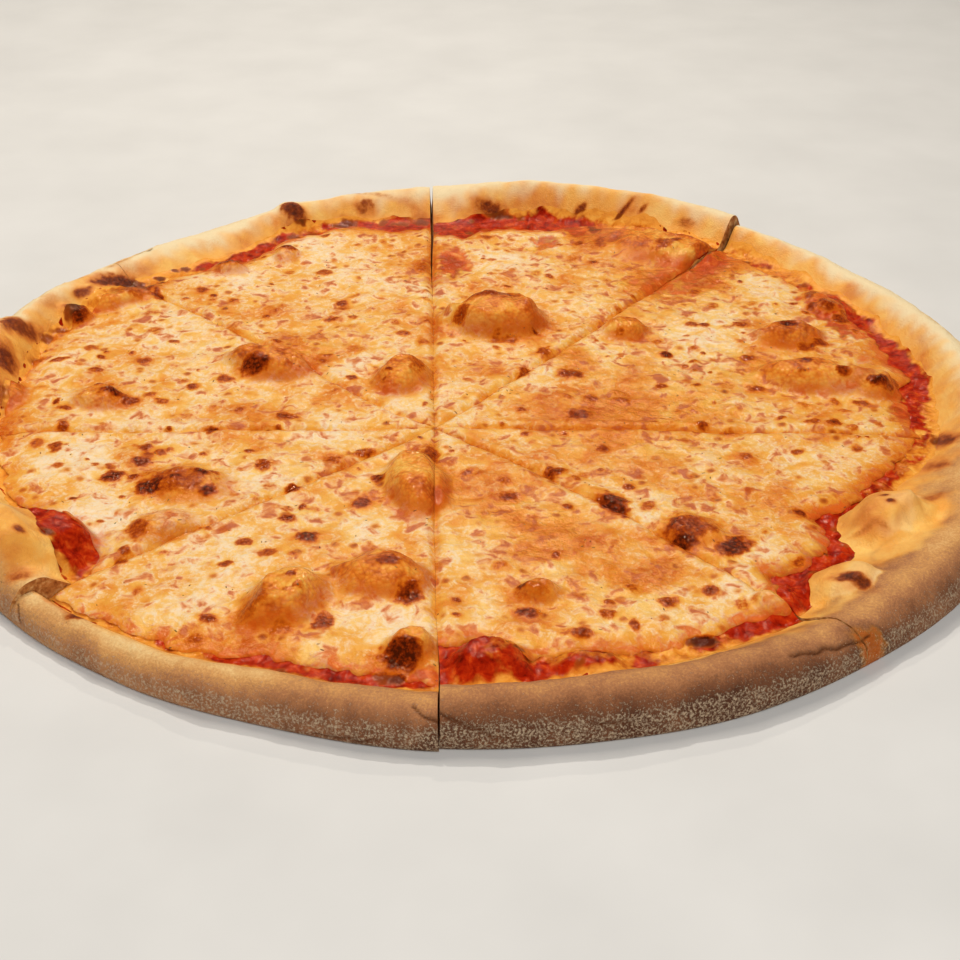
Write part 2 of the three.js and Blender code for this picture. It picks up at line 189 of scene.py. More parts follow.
# ---- What the oven did to the cheese ---------------------------------------------
# Toasted spots: the middle, the half lengths along and across, the turn in degrees
# and how dark they are, from 0.3 for golden to 1.1 for burnt.
TOASTED_SPOTS = [
    # the back left
    (-123, 144, 3, 2, 0, .6), (-125, 131, 6, 4.5, 0, .95), (-98, 149, 5, 4, 0, .85),
    (-158, 116, 3, 2.5, 0, .9), (-175, 111, 10, 4, 20, 1.05), (-167, 105, 9, 5, 10, .85),
    (-168, 97, 12, 7, 20, .5), (-157, 101, 9, 2, 105, .7), (-191, 75, 5, 5.5, 0, 1),
    (-195, 62, 4, 4, 0, .6), (-156, 78, 5, 4, 0, .4), (-135, 104, 4, 3.5, 0, .7),
    (-118, 91, 3, 3, 0, .5), (-77, 125, 5, 4, 0, .55), (-68, 72, 5, 3, 0, .6),
    (-33, 57, 4, 3, 0, .6), (-23, 70, 3, 3, 0, .5), (-100, 75, 2.5, 2, 0, .6),
    (-139, 47, 3, 2.5, 0, .6), (-150, 29, 4, 3, 0, .6), (-176, 40, 4, 3, 0, .5),
    (-188, 28, 6, 2, 20, .6), (-170, 19, 4, 3, 0, .6), (-111, 11, 4, 4, 0, .7),
    (-124, 4, 3, 3.5, 0, .7), (-98, 17, 8, 5, 0, .92), (-97, 176, 5, 4, 0, .7),
    (-88, 180, 4, 3, 0, .6), (-71, 193, 7, 4, 15, .85), (-60, 203, 6, 3, 10, .6),
    (-42, 195, 6, 3, 0, .6), (-30, 197, 5, 4, 0, .75), (-27, 133, 4, 7, 0, .5),
    (-26, 20, 5, 10, 0, .5), (-24, 48, 3, 4, 0, .45),
    # the front left
    (-163, 0, 5, 4, 0, .8), (-157, -8, 6, 4, 0, .88), (-149, -10, 5, 4, 0, .8),
    (-176, -16, 4, 3, 0, .6), (-141, -5, 3, 2.5, 0, .6), (-80, -23, 5, 4.5, 0, .75),
    (-110, -34, 4, 2.5, 0, 1), (-172, -48, 4, 3, 0, .65), (-135, -49, 3.5, 3, 0, .75),
    (-128, -53, 3, 3, 0, .6), (-135, -61, 4.5, 4, 0, .9), (-144, -72, 5, 4.5, 0, .95),
    (-168, -64, 3, 2.5, 0, .5), (-117, -78, 17, 11, -20, .55), (-128, -80, 6.5, 5.5, 60, 1),
    (-118, -77, 3.5, 3.5, 0, .95), (-108, -74, 4, 3.5, 0, .95), (-104, -85, 4, 4, 0, .95),
    (-85, -63, 4.5, 4, 90, .7), (-57, -58, 4, 3.5, 0, .6), (-45, -52, 6, 3, 20, .7),
    (-18, -53, 8, 4, 90, .7), (-38, -73, 3.5, 3, 0, .85), (-43, -90, 5, 4, 60, .8),
    (-62, -115, 5, 4, 0, .95), (-76, -125, 4, 3, 0, .6), (-86, -118, 3.5, 3, 0, .7),
    (-71, -102, 4, 3.5, 0, .75), (-127, -112, 7, 5, 110, .6), (-35, -124, 4, 3, 0, .5),
    (-30, -139, 6, 4, 0, .8), (-22, -153, 6, 5, 60, .9), (-92, -167, 4, 3, 0, .75),
    (-95, -177, 3, 2.5, 0, .6), (-137, -168, 4, 3.5, 0, .92), (-52, -168, 6, 4, 80, .8),
    (-76, -163, 9, 6, 60, .5), (-24, -188, 8, 6, 0, .98), (-66, -172, 5, 4, 0, .45),
    # the front right
    (51, -5, 4, 3.5, 0, .6), (64, -6, 4, 3, 0, .55), (45, -19, 6, 5.5, 0, .8),
    (97, -28, 3, 3, 0, .7), (144, -25, 3.5, 2.5, 0, .6), (156, -34, 3, 2.5, 0, .6),
    (53, -48, 3.5, 3, 0, .7), (33, -67, 5, 3.5, 40, .85), (14, -85, 4.5, 4, 0, .75),
    (12, -73, 3.5, 3, 0, .55), (55, -91, 10, 5.5, -65, 1.02), (68, -92, 4, 4, 0, .5),
    (82, -109, 10, 9, 0, .74), (80, -117, 6, 4, 0, .98), (77, -106, 4, 3, 90, .9),
    (98, -120, 8.5, 5.5, 45, 1), (86, -148, 4, 3.5, 0, .75), (70, -155, 4, 3.5, 0, .72),
    (96, -155, 4, 4, 0, .4), (48, -162, 4, 3, 0, .6), (20, -162, 5, 3.5, -20, .92),
    (38, -173, 5, 3, 0, .78), (18, -148, 3, 2, 90, 1), (24, -151, 5, 4, 0, .45),
    # the back right
    (9, 77, 14, 4, 0, .72), (-6, 66, 5, 4, 0, .6), (14, 51, 10, 3, 8, .5),
    (32, 40, 6, 4, 80, .6), (43, 18, 6, 5, 0, .8), (88, 37, 3.5, 3, 0, .9),
    (103, 68, 4, 3, 0, .6), (126, 68, 5, 4, 0, .6), (146, 57, 7, 4, 0, .96),
    (160, 49, 5, 3, 0, .7), (153, 44, 5, 3, 0, .6), (124, 34, 4, 3.5, 0, .65),
    (125, 5, 5, 3, 0, .75), (72, 67, 5, 4, 0, .6), (148, 17, 3.5, 3, 0, .9),
    (163, 10, 4, 3.5, 0, .85), (178, 3, 6, 4, 0, .95), (168, -8, 4, 3, 0, .65),
    (170, 86, 6, 5, 60, .7), (175, 76, 5, 4, 0, .75), (165, 100, 5, 4, 0, .65),
    (104, 155, 3, 2.5, 0, .9), (97, 152, 6, 5, 90, .6), (63, 185, 9, 4, 100, .8),
    (65, 165, 8, 4, 90, .6), (8, 206, 9, 3, 0, .85), (5, 172, 4, 3, 0, .6),
    (35, 160, 6, 3, 60, .35), (50, 145, 7, 3, 70, .35), (30, 125, 5, 3, 90, .35),
]
SPOT_BLISTER = 0.7  # how high a toasted spot swells
HALO_REACH = 1.7  # the golden ring round a spot, in spot radii
SPOT_REACH = 4  # how far from its middle a spot can be seen at all, in half lengths
SMALL_SPOTS = 520
SMALL_SPOTS_WITHIN = 205  # of the pizza's middle

# Where the cheese is oily and orange (above 0) or stayed milky (below 0): the
# middle, the radius and how much.
OILY_AREAS = [
    (100, 125, 38, .8), (95, 175, 30, .75), (120, 145, 24, .5), (62, 175, 22, .6),
    (70, 60, 20, .3), (45, 30, 22, .35), (100, 0, 50, .35), (60, -40, 45, .3),
    (20, -100, 30, .45), (50, -130, 40, .3), (-80, 38, 26, .45), (-20, -78, 22, .6),
    (-75, -158, 18, .55), (-117, -76, 20, .5), (140, 20, 26, .45), (10, 68, 26, .7),
    (-20, 135, 16, .6), (-55, 195, 26, .6), (-170, 100, 26, .5), (-130, 135, 16, .45),
    (-33, 14, 18, .45), (-35, -140, 20, .45), (-95, -178, 22, .3), (-140, -45, 14, .3),
    (85, -112, 20, .5), (170, 30, 24, .3), (-22, -50, 12, .4), (-160, -5, 16, .35),
    (-148, -108, 22, -.9), (-165, -62, 26, -.4), (-75, 150, 26, -.6), (10, 142, 18, -.6),
    (105, 58, 22, -.5), (-90, -128, 22, -.45), (-100, -165, 18, -.25), (-55, 24, 14, -.4),
    (-118, 112, 22, -.35), (30, 15, 14, -.35), (90, -152, 20, -.45), (140, 110, 20, -.5),
    (-40, -105, 12, -.4), (130, -60, 22, -.35), (-130, -30, 22, -.3), (-30, -168, 14, -.4),
    (-62, 110, 30, -.25), (-150, 60, 22, -.2), (64, -100, 10, -.5), (-60, -38, 16, -.3),
]

# Sauce that broke through the cheese: the middle, half lengths, turn and strength.
SAUCE_PATCHES = [
    (-12, 140, 16, 9, 90, .9), (10, 198, 26, 8, 0, .9), (54, 188, 15, 8, 110, .9),
    (100, 118, 26, 18, 40, .6), (118, 138, 18, 10, 50, .75), (-122, 150, 22, 5, 40, .8),
    (172, 78, 26, 9, 115, .9), (186, -14, 12, 7, 100, .8), (-60, 196, 20, 7, 10, .5),
    (37, 166, 13, 7, 60, .75), (92, 176, 24, 12, -30, .45), (-28, -196, 18, 5, 5, .9),
    (-20, 118, 9, 6, 0, .5), (178, 30, 16, 6, 80, .5), (-157, -122, 16, 9, -30, 0.9),
]

# How bare the ring of sauce is, every 15 degrees from +X round to the left.
SAUCE_REDNESS = [.4, .85, .7, .5, .15, .75, 1, .6, .7, .2, .15, .15,
                 .2, .3, 1, .45, .6, .8, .8, .6, .6, .9, 1, .75]

# Where the edge of the cheese draws back: the direction, the half width and how far.
CHEESE_NOTCHES = [(-24.5, 3, 13), (-40, 2.5, 6), (9, 4, 4), (216, 4, 10)]

# ---- What the oven did to the crust ----------------------------------------------
# How brown the rim is, every 30 degrees from +X round to the left: its baked brown, and painted shade
# that makes the front of the rim darker.
RIM_BAKE_AND_SHADE = [.34, .14, .14, .04, .16, .22, .4, .35, .52, .78, .85, .68]
UNDERSIDE_BAKE = 0.55

# How far oil crept from the sauce up the rim, every 30 degrees.
OIL_CREEP = [17, 8, 11, 14, 12, 12, 15, 11, 7, 7, 9, 18]

# Oil that lies further up on the crust, and one patch of painted shade in the oil's colour: the middle,
# half lengths, turn and strength.
OIL_AND_SHADE_ON_CRUST = [
    # The second patch here is painted shade on the right flank of the bare bubble at the front right.
    (158, -101, 19, 13, 40, .3), (166, -106, 15, 5, 62, .6),
    (173, -106, 17, 7, 62, 1), (157, -124, 13, 7, 40, .9), (-166, -136, 16, 9, -40, 1),
    (-206, 33, 17, 9, 80, 1), (-206, 6, 13, 8, 80, 1), (-199, 71, 10, 6, 60, .9),
    (-184, 104, 15, 7, 40, .9), (-158, 122, 8, 4, 30, .8),
    (196, 44, 6, 20, 12, .5), (75, 192, 24, 5, -18, .5),
]

# Toasted spots on the crust and on what bubbled over it, as the ones of the cheese.
CRUST_SPOTS = [
    (57, 204, 4, 1.4, 10, .75), (79, 198, 6, 1, 15, .8), (90, 195, 2.5, .8, 0, .7),
    (111, 181, 6, 1.6, -30, .45), (12, 204, 9, 2, 0, .85), (64, 184, 5, 4, 90, .95),
    (-209, 42, 13, 4.5, 60, .85), (-200, 52, 6, 4, 50, .6), (-209, 16, 8, 4, 90, .85),
    (-199, 30, 5, 4, 60, .55), (-206, -8, 8, 5, 80, .6), (-190, 91, 6, 2.5, 50, .75),
    (-183, 105, 8, 3.5, 50, .95), (-174, 113, 9, 3, 20, 1), (-163, 110, 7, 3.5, -10, .95),
    (-156, 98, 5, 3, 110, .85), (-189, 71, 5.5, 5, 0, 1), (-159, 122, 3.5, 2.6, 0, .9),
    (-203, 75, 7, 4, 50, .25), (-195, 62, 7, 3.5, 40, .5), (-179, 124, 12, 1.6, 60, .35),
    (196, -38, 8, 4, 110, .85), (157, -100, 1.6, 1.2, 0, .95), (158, -105, 2, 1.4, 0, .95),
    (148, -111, 5, 1.3, 0, .4), (154, -113, 4, 1.2, -40, .4), (136, -150, 7.5, 3.2, -35, 1),
    (178, -92, 6, 4, 40, .45), (137, -179, 8, 5, 0, .5), (-163, -136, 2.2, 1.6, 0, .95),
    (-156, -128, 2.8, 2.2, 0, .9), (-161, -149, 5, 3, 0, .5), (-25, -196, 4, 3, 0, .9),
    (80, -175, 6, 3.2, 10, 1.1), (-98, 190, 7, 5, 0, 1), (-60, 210, 20, 2, -10, .35),
    (188, -62, 7, 3, 110, .6),
]

# Cracks in the rim: the azimuth and the height share where each starts and ends.
RIM_CRACKS = [
    (-90.5, .95, -81, .25), (-101, .15, -94, .22), (-96, .12, -93.5, .3),
    (-53, .9, -44, .72), (-138, .8, -136.5, .4), (-74, .5, -70, .42),
    (149, .82, 143, .97), (134, .9, 131, .97), (150, .95, 152, .7), (-30, .5, -20, .42),
]
CRACK_WIDTH = 0.8
CRACK_DEPTH = 0.9
RIM_SIDE = 20  # how long the rim's outer side is where a crack runs down it
RIM_ROUND = 16  # how round that side is: the radius its relief is laid along

# ---- How fine the meshes are -----------------------------------------------------
FINE = 0.8  # between the points of a surface that shows
LOWER_SPACING = 3.0  # between the points across a lower side
HIDDEN_SPACING = 12.0  # between the points across what another layer covers
HIDDEN_RING = 14.0  # between the rings of what doesn't show
SAUCE_TUCK = 8  # how far under the cheese the sauce is fine
HIDDEN_DOUGH = 32.0  # how far inside the sauce's end the dough's upper side is fine
HIDDEN_STEP = 6.0  # from there to the last of the dough's coarse rings
UPTURN = 36.0  # how far before its end the lower side of a layer follows the dough
UPTURN_RINGS = 22
RIM_SIDE_ROWS = 30
RIM_UNDER_ROWS = 6
UNDERSIDE_RINGS = 40
SHARP_EDGE = 62  # degrees between two faces from which their edge stays sharp
SEED = 20

# ---- Helpers ---------------------------------------------------------------------


def smooth(share):
    """Eases from 0 to 1, and stays level before and after."""
    share = np.clip(share, 0, 1)
    return share * share * (3 - 2 * share)


def mix(start, end, share):
    """The value that lies at a share of the way from the start to the end."""
    return start + (end - start) * share


def between(stations, share):
    """The value between even stations, eased from each one to the next."""
    stations = np.asarray(stations, float)
    place = np.clip(share, 0, 1) * (len(stations) - 1)
    first = np.minimum(place.astype(int), len(stations) - 2)
    return mix(stations[first], stations[first + 1], smooth(place - first))


def along_rim(degrees):
    """How far along the rim a direction is, from +X round to the left."""
    return math.radians(degrees % 360) * RIM_RADIUS


def round_the_rim(stations, arc):
    """The value between even stations that go once round the rim, at places along it."""
    turn = arc / RIM_RADIUS % math.tau / math.tau
    return between(stations + stations[:1], turn)


def corner_angle(column, row, seed):
    """A repeatable angle for each corner of a square lattice."""
    mixed = (column * 374761393 + row * 668265263 + seed * 362437) & 0xFFFFFFFF
    mixed = ((mixed ^ (mixed >> 13)) * 1274126177) & 0xFFFFFFFF
    return (mixed ^ (mixed >> 16)) % 3600 * (math.tau / 3600)


def swell(x, y, size, seed):
    """Smooth unevenness from about -1 to 1, in lumps about `size` millimetres wide."""
    u = x / size
    v = y / size
    column = np.floor(u).astype(np.int64)
    row = np.floor(v).astype(np.int64)
    u = u - column
    v = v - row

    def corner(i, j):
        angle = corner_angle(column + i, row + j, seed)
        return np.cos(angle) * (u - i) + np.sin(angle) * (v - j)

    ease_u = u * u * u * (u * (u * 6 - 15) + 10)
    ease_v = v * v * v * (v * (v * 6 - 15) + 10)
    front = mix(corner(0, 0), corner(1, 0), ease_u)
    back = mix(corner(0, 1), corner(1, 1), ease_u)
    return mix(front, back, ease_v) * 1.6


def uneven(x, y, swells):
    """Unevenness of several sizes at once, each given as its height, size and seed."""
    return sum(height * swell(x, y, size, seed) for height, size, seed in swells)


def radius_share(x, y, middle_x, middle_y, along, across, turn):
    """How far out a place is in a turned ellipse: 0 in the middle, 1 at its edge."""
    cos = math.cos(math.radians(turn))
    sin = math.sin(math.radians(turn))
    dx = x - middle_x
    dy = y - middle_y
    return np.hypot((dx * cos + dy * sin) / along, (dy * cos - dx * sin) / across)


# ---- The pizza's surface ---------------------------------------------------------


def bubble_shares(x, y):
    """For each bubble, how far out a place is: 0 in its middle, about 1 at its foot."""
    wander = uneven(x, y, BUBBLE_FOOT)
    for *ellipse, height in BUBBLES:
        yield ellipse, height, radius_share(x, y, *ellipse) + wander


def bubble_rise(x, y):
    """How high the bubbles lift the surface. The higher one is, the steeper its sides."""
    rise = np.zeros_like(x)
    for _, height, out in bubble_shares(x, y):
        side = 0.92 - 0.03 * height
        rise += height * smooth((1.08 - out) / side) * (1 - 0.2 * np.clip(out, 0, 1) ** 2)
    dimples = 0.35 * smooth(rise / 4) * swell(x, y, 4.5, 6)
    return rise * (1 + 0.1 * swell(x, y, 11, 5)) + dimples


def cheese_lump(x, y):
    """The cheese's broad lumps, drifting sideways from row to row."""
    drift = np.sin(y / LUMP_LENGTH[0])
    return CHEESE_LUMP * np.sin(x / LUMP_LENGTH[0] + drift) * np.cos(y / LUMP_LENGTH[1])


def redness(arc):
    """How much of the ring of sauce is bare, from place to place along the rim."""
    return round_the_rim(SAUCE_REDNESS, arc)


def bare_dough(x, y):
    """1 where a bubble of dough pushed the sauce and the cheese aside."""
    bare = np.zeros_like(x)
    for ellipse in BARE_BUBBLES:
        out = radius_share(x, y, *ellipse) + 0.12 * swell(x, y, 6, 71)
        bare = np.maximum(bare, smooth((1.1 - out) / 0.2))
    return bare


def cut_side(cut, side, distance, open_share):
    """How far one side of a cut lies to the left of the cut's straight line. The side
    is 1 for the slice to the left of the cut and -1 for the slice to its right. The
    open share is 0 where the slices still touch, at the underside, and 1 above."""
    _, opening, start, stray, reach = CUTS[cut]
    bow = stray * np.sin(math.pi * np.clip(distance / reach, 0, 1))
    own_lane = distance * 0 + (cut % 8) * 9.5  # so that no two cuts waver alike
    waver = 0.5 * swell(distance, own_lane, 35, 8) * smooth(distance / 40)
    gap = SHUT_GAP + open_share * opening * smooth((distance - start) / (OPENING_REACH - start))
    return bow + waver + side * gap


class Slice:
    """The lines of one slice from its tip to the outer edge, each named by its share
    of the way from the slice's first cut to the next one."""

    def __init__(self, number):
        self.number = number
        self.sizes = SLICES[number]
        first, second = CUTS[number], CUTS[number + 1]
        self.start = math.radians(first[0])
        self.end = math.radians(second[0])
        half = math.radians(second[0] - first[0]) / 2
        middle = math.radians(second[0] + first[0]) / 2
        away = np.array([math.cos(middle), math.sin(middle)])
        self.solid_tip = CUT_CROSSING + away * (CUT_GAP / 2 / math.sin(half))
        self.tip = CUT_CROSSING
        self.width = self.end - self.start

    def size(self, name, share):
        """One of the slice's sizes from the table, eased between its stations."""
        return between(self.sizes[name], share)

    def reach(self, share):
        """Distance from the tip to the outer edge."""
        angle = mix(self.start, self.end, share)
        back = self.tip[0] * np.cos(angle) + self.tip[1] * np.sin(angle)
        radius = self.size("radius", share)
        return -back + np.sqrt(back**2 + radius**2 - self.tip @ self.tip)

    def place(self, share, distance, open_share=1):
        """Where a distance from the tip is, at a share of the way across the slice."""
        angle = mix(self.start, self.end, share)
        first = cut_side(self.number, 1, distance, open_share)
        second = cut_side(self.number + 1, -1, distance, open_share)
        stray = mix(first, second, share) * smooth(distance / 3)
        x = self.tip[0] + np.cos(angle) * distance - np.sin(angle) * stray
        y = self.tip[1] + np.sin(angle) * distance + np.cos(angle) * stray
        return x, y

    def lines(self, share):
        """The distances along each line at which the layers end."""
        reach = self.reach(share)
        arc = mix(self.start, self.end, share) * RIM_RADIUS
        sauce_inset = self.size("sauce", share)
        cheese_inset = self.size("cheese", share)
        foot_inset = np.minimum(sauce_inset + SAUCE_CLIMB, cheese_inset - SAUCE_SHELF)
        sauce = reach - sauce_inset + uneven(arc, arc * 0, SAUCE_EDGE)
        cheese = reach - cheese_inset + uneven(arc, arc * 0, CHEESE_EDGE)
        cheese = mix(cheese, sauce, CHEESE_CREEP * (1 - redness(arc)))
        for direction, width, depth in CHEESE_NOTCHES:
            away = (arc - along_rim(direction)) / along_rim(width)
            cheese = cheese - depth * np.exp(-(away**2))
        return dict(
            reach=reach,
            arc=arc,
            rim=self.size("rim", share),
            crest=reach - np.clip(sauce_inset * CREST_SHARE, *CREST_INSET),
            sauce=sauce,
            foot=reach - foot_inset,
            cheese=np.minimum(cheese, sauce - LEAST_RING),
        )

    def middle_lines(self):
        """The same distances along the slice's middle, as plain numbers."""
        return {name: values[0] for name, values in self.lines(np.array([0.5])).items()}

    def to_cut(self, share, distance):
        """Distance to the nearer of the two cuts."""
        return np.minimum(share, 1 - share) * self.width * distance


def dough_height(lines, x, y, distance):
    """The dough's upper side: flat, up the slope to the crest, with the bubbles."""
    climb = smooth((distance - lines["foot"]) / (lines["crest"] - lines["foot"]))
    return mix(BASE_THICKNESS, lines["rim"], climb) + bubble_rise(x, y)


# ---- Meshes of a slice -----------------------------------------------------------


def row_counts(distances, width, spacing):
    """How many steps across the slice each row takes. The tip is a single point."""
    return [max(1, round(distance * width / spacing)) if distance else 0 for distance in distances]


class Rows:
    """Points of a fan: rows from the tip outwards, each from the first cut across."""

    def __init__(self, counts):
        self.counts = np.asarray(counts)
        self.share = np.concatenate(
            [np.linspace(0, 1, count + 1) if count else np.array([0.5]) for count in counts]
        )
        self.row = np.repeat(np.arange(len(counts)), self.counts + 1)
        self.first = np.concatenate([[0], np.cumsum(self.counts + 1)])

    def ids(self, row):
        return np.arange(self.first[row], self.first[row + 1])


def lace(ids_a, ids_b, keys_a, keys_b, flip):
    """Fills the strip between two rows with triangles, whatever their lengths. The
    keys say where each row's points lie along it."""
    steps_a = len(ids_a) - 1
    steps_b = len(ids_b) - 1
    keys = np.concatenate([keys_a[1:], keys_b[1:]])
    of_a = np.concatenate([np.ones(steps_a, bool), np.zeros(steps_b, bool)])
    order = np.argsort(keys, kind="stable")
    of_a = of_a[order]
    a = np.cumsum(of_a) - of_a
    b = np.cumsum(~of_a) - ~of_a
    third = np.where(of_a, ids_a[np.minimum(a + 1, steps_a)], ids_b[np.minimum(b + 1, steps_b)])
    triangles = np.stack([ids_a[a], ids_b[b], third], axis=1)
    return triangles[:, ::-1] if flip else triangles


def even_keys(ids):
    """Where the points of a row lie along it, by share."""
    return np.linspace(0, 1, len(ids)) if len(ids) > 1 else np.zeros(1)


def fan_triangles(upper, lower, upper_reach, lower_reach):
    """All the faces of a closed wedge: the upper rows, the lower rows, the outer
    edge between them and the two sides at the cuts. The sides come last."""
    offset = upper.first[-1]
    faces = []
    for row in range(1, len(upper.counts)):
        a, b = upper.ids(row - 1), upper.ids(row)
        faces.append(lace(a, b, even_keys(a), even_keys(b), False))
    for row in range(1, len(lower.counts)):
        a, b = lower.ids(row - 1) + offset, lower.ids(row) + offset
        faces.append(lace(a, b, even_keys(a), even_keys(b), True))
    a, b = upper.ids(len(upper.counts) - 1), lower.ids(len(lower.counts) - 1) + offset
    faces.append(lace(a, b, even_keys(a), even_keys(b), False))
    skin = sum(len(group) for group in faces)
    for pick, flip in ((0, False), (-1, True)):
        top = np.array([upper.ids(row)[pick] for row in range(len(upper.counts))])
        bottom = np.array([lower.ids(row)[pick] for row in range(len(lower.counts))])
        top_keys = np.maximum.accumulate(upper_reach[top])
        faces.append(lace(top, bottom + offset, top_keys, lower_reach[bottom], flip))
    return np.concatenate(faces), skin


def frame_shift():
    """From the pizza's own middle to the frame's origin, read off two slices' tips."""
    tip_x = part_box("slice_1_crust")[0].x / METRES
    tip_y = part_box("slice_2_crust")[0].y / METRES
    return np.array([tip_x - Slice(0).solid_tip[0], tip_y - Slice(1).solid_tip[1]])


SHIFT = frame_shift()


def to_metres(points):
    """Places in the frame's metres for points in the pizza's own millimetres."""
    return (points + np.array([SHIFT[0], SHIFT[1], 0])) * METRES


def new_mesh(name, places, faces, attributes):
    """A mesh of triangles with numbers on its points."""
    mesh = bpy.data.meshes.new(name)
    mesh.vertices.add(len(places))
    mesh.vertices.foreach_set("co", places.astype(np.float32).ravel())
    mesh.loops.add(faces.size)
    mesh.loops.foreach_set("vertex_index", faces.astype(np.int32).ravel())
    mesh.polygons.add(len(faces))
    mesh.polygons.foreach_set("loop_start", np.arange(0, faces.size, 3, dtype=np.int32))
    mesh.polygons.foreach_set("loop_total", np.full(len(faces), 3, np.int32))
    mesh.update(calc_edges=True)
    for label, values in attributes.items():
        attribute = mesh.attributes.new(label, "FLOAT", "POINT")
        attribute.data.foreach_set("value", values.astype(np.float32))
    return mesh


def make_wedge(kind, layer, slice_, upper, lower, paint, materials):
    """The closed piece that stands for one layer of a slice. Upper and lower are each
    the rows, distances and points of that side. The paint holds for each attribute its
    values above and the one value below. A second material is for the sides at the
    cuts. Returns the places and the faces of the upper side, to strew things on."""
    rows, distance, points = upper
    low_rows, low_distance, low_points = lower
    faces, skin = fan_triangles(rows, low_rows, distance, low_distance)
    attributes = {
        label: np.concatenate([above, np.full(len(low_points), below, float)])
        for label, (above, below) in paint.items()
    }
    number = slice_.number + 1
    name = f"{kind}_{number}"
    mesh = new_mesh(name, to_metres(np.concatenate([points, low_points])), faces, attributes)
    for material in materials:
        mesh.materials.append(material)
    if len(materials) > 1:
        slots = np.zeros(len(faces), np.int32)
        slots[skin:] = 1
        mesh.polygons.foreach_set("material_index", slots)
    mesh.polygons.foreach_set("use_smooth", np.ones(len(faces), bool))
    mesh.set_sharp_from_angle(angle=math.radians(SHARP_EDGE))
    piece = bpy.data.objects.new(name, mesh)
    bpy.context.scene.collection.objects.link(piece)
    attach(piece, "root")
    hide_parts(f"slice_{number}_{layer}")
    outer = faces[:skin]
    return to_metres(points), outer[np.all(outer < len(points), axis=1)]


# ---- Paint: what each place of the surface looks like ----------------------------


def spot_fields(x, y, spots, along=None, up=None):
    """How toasted a place is, how far into a halo, and how high its blister is. The
    spots' edges wander with the place along and up the surface, on a steep one."""
    along = x if along is None else along
    up = y if up is None else up
    toast = np.zeros_like(x)
    halo = np.zeros_like(x)
    blister = np.zeros_like(x)
    wander = uneven(along, up, SPOT_OUTLINE)
    for *ellipse, dark in spots:
        near = np.abs(x - ellipse[0]) + np.abs(y - ellipse[1]) < SPOT_REACH * ellipse[2]
        out = radius_share(x[near], y[near], *ellipse) + wander[near]
        toast[near] = np.maximum(toast[near], dark * smooth((1.4 - out) / 1.0))
        halo[near] = np.maximum(halo[near], dark * smooth((HALO_REACH - out) / 1.1))
        dome = np.maximum(0, 1 - (out / 1.25) ** 2) * dark
        blister[near] = np.maximum(blister[near], dome)
    return toast, halo, blister


def small_spots():
    """Many small golden and brown spots, scattered over the whole pizza."""
    draw = np.random.default_rng(SEED)
    spots = []
    for _ in range(SMALL_SPOTS):
        angle = draw.uniform(0, math.tau)
        radius = SMALL_SPOTS_WITHIN * math.sqrt(draw.uniform(0, 1))
        long = draw.uniform(1.2, 3.8)
        flat = draw.uniform(0.55, 1)
        turn = draw.uniform(0, 180)
        dark = 0.2 + 0.62 * draw.uniform(0, 1) ** 2
        middle = (radius * math.cos(angle), radius * math.sin(angle))
        spots.append((*middle, long, long * flat, turn, dark))
    return spots


SPOTS_ON_CRUST = CRUST_SPOTS + TOASTED_SPOTS
ALL_SPOTS = SPOTS_ON_CRUST + small_spots()


def oiliness(x, y):
    """How oily the cheese is. The right half is a little oilier than the left."""
    oil = uneven(x, y, OIL_DRIFT)
    for middle_x, middle_y, radius, amount in OILY_AREAS:
        out = np.hypot(x - middle_x, y - middle_y) / radius
        oil += amount * smooth(1.25 - out)
    return oil + 0.1 * np.clip(x / 150, -1, 1)


def bubble_paint(x, y):
    """How amber the bubbles' tops are, and the red-brown painted shade at their feet on the side towards
    the front.
    """
    amber = np.zeros_like(x)
    foot = np.zeros_like(x)
    for ellipse, height, out in bubble_shares(x, y):
        strength = smooth(height / 7)
        away = np.hypot(x - ellipse[0], y - ellipse[1]) + 1
        # Only the side towards the front gets the painted shade at the foot.
        front = smooth(0.45 + (0.35 * (x - ellipse[0]) - 0.7 * (y - ellipse[1])) / away)
        amber = np.maximum(amber, strength * smooth((0.95 - out) / 0.35))
        foot = np.maximum(foot, strength * front * np.exp(-(((out - 0.85) / 0.2) ** 2)))
    return amber, foot


def sauce_showing(x, y):
    """How much sauce shows where it broke through the cheese."""
    showing = np.zeros_like(x)
    wander = uneven(x, y, PATCH_OUTLINE)
    for *ellipse, amount in SAUCE_PATCHES:
        out = radius_share(x, y, *ellipse) + wander
        showing = np.maximum(showing, amount * smooth((1.3 - out) / 0.7))
    return showing


def crack_depth(arc, height_share):
    """How deep the rim's cracks are, from 0 beside them to 1 in their middle."""
    depth = np.zeros_like(arc)
    for start, start_share, end, end_share in RIM_CRACKS:
        first = np.array([along_rim(start), start_share * RIM_SIDE])
        along = np.array([along_rim(end), end_share * RIM_SIDE]) - first
        across_x = arc - first[0]
        across_y = height_share * RIM_SIDE - first[1] + 0.8 * swell(arc, arc * 0, 5, 72)
        share = np.clip((across_x * along[0] + across_y * along[1]) / (along @ along), 0, 1)
        gap = np.hypot(across_x - share * along[0], across_y - share * along[1])
        narrow = CRACK_WIDTH * (1 - 0.6 * np.abs(2 * share - 1))
        depth = np.maximum(depth, np.exp(-((gap / narrow) ** 2)))
    return depth


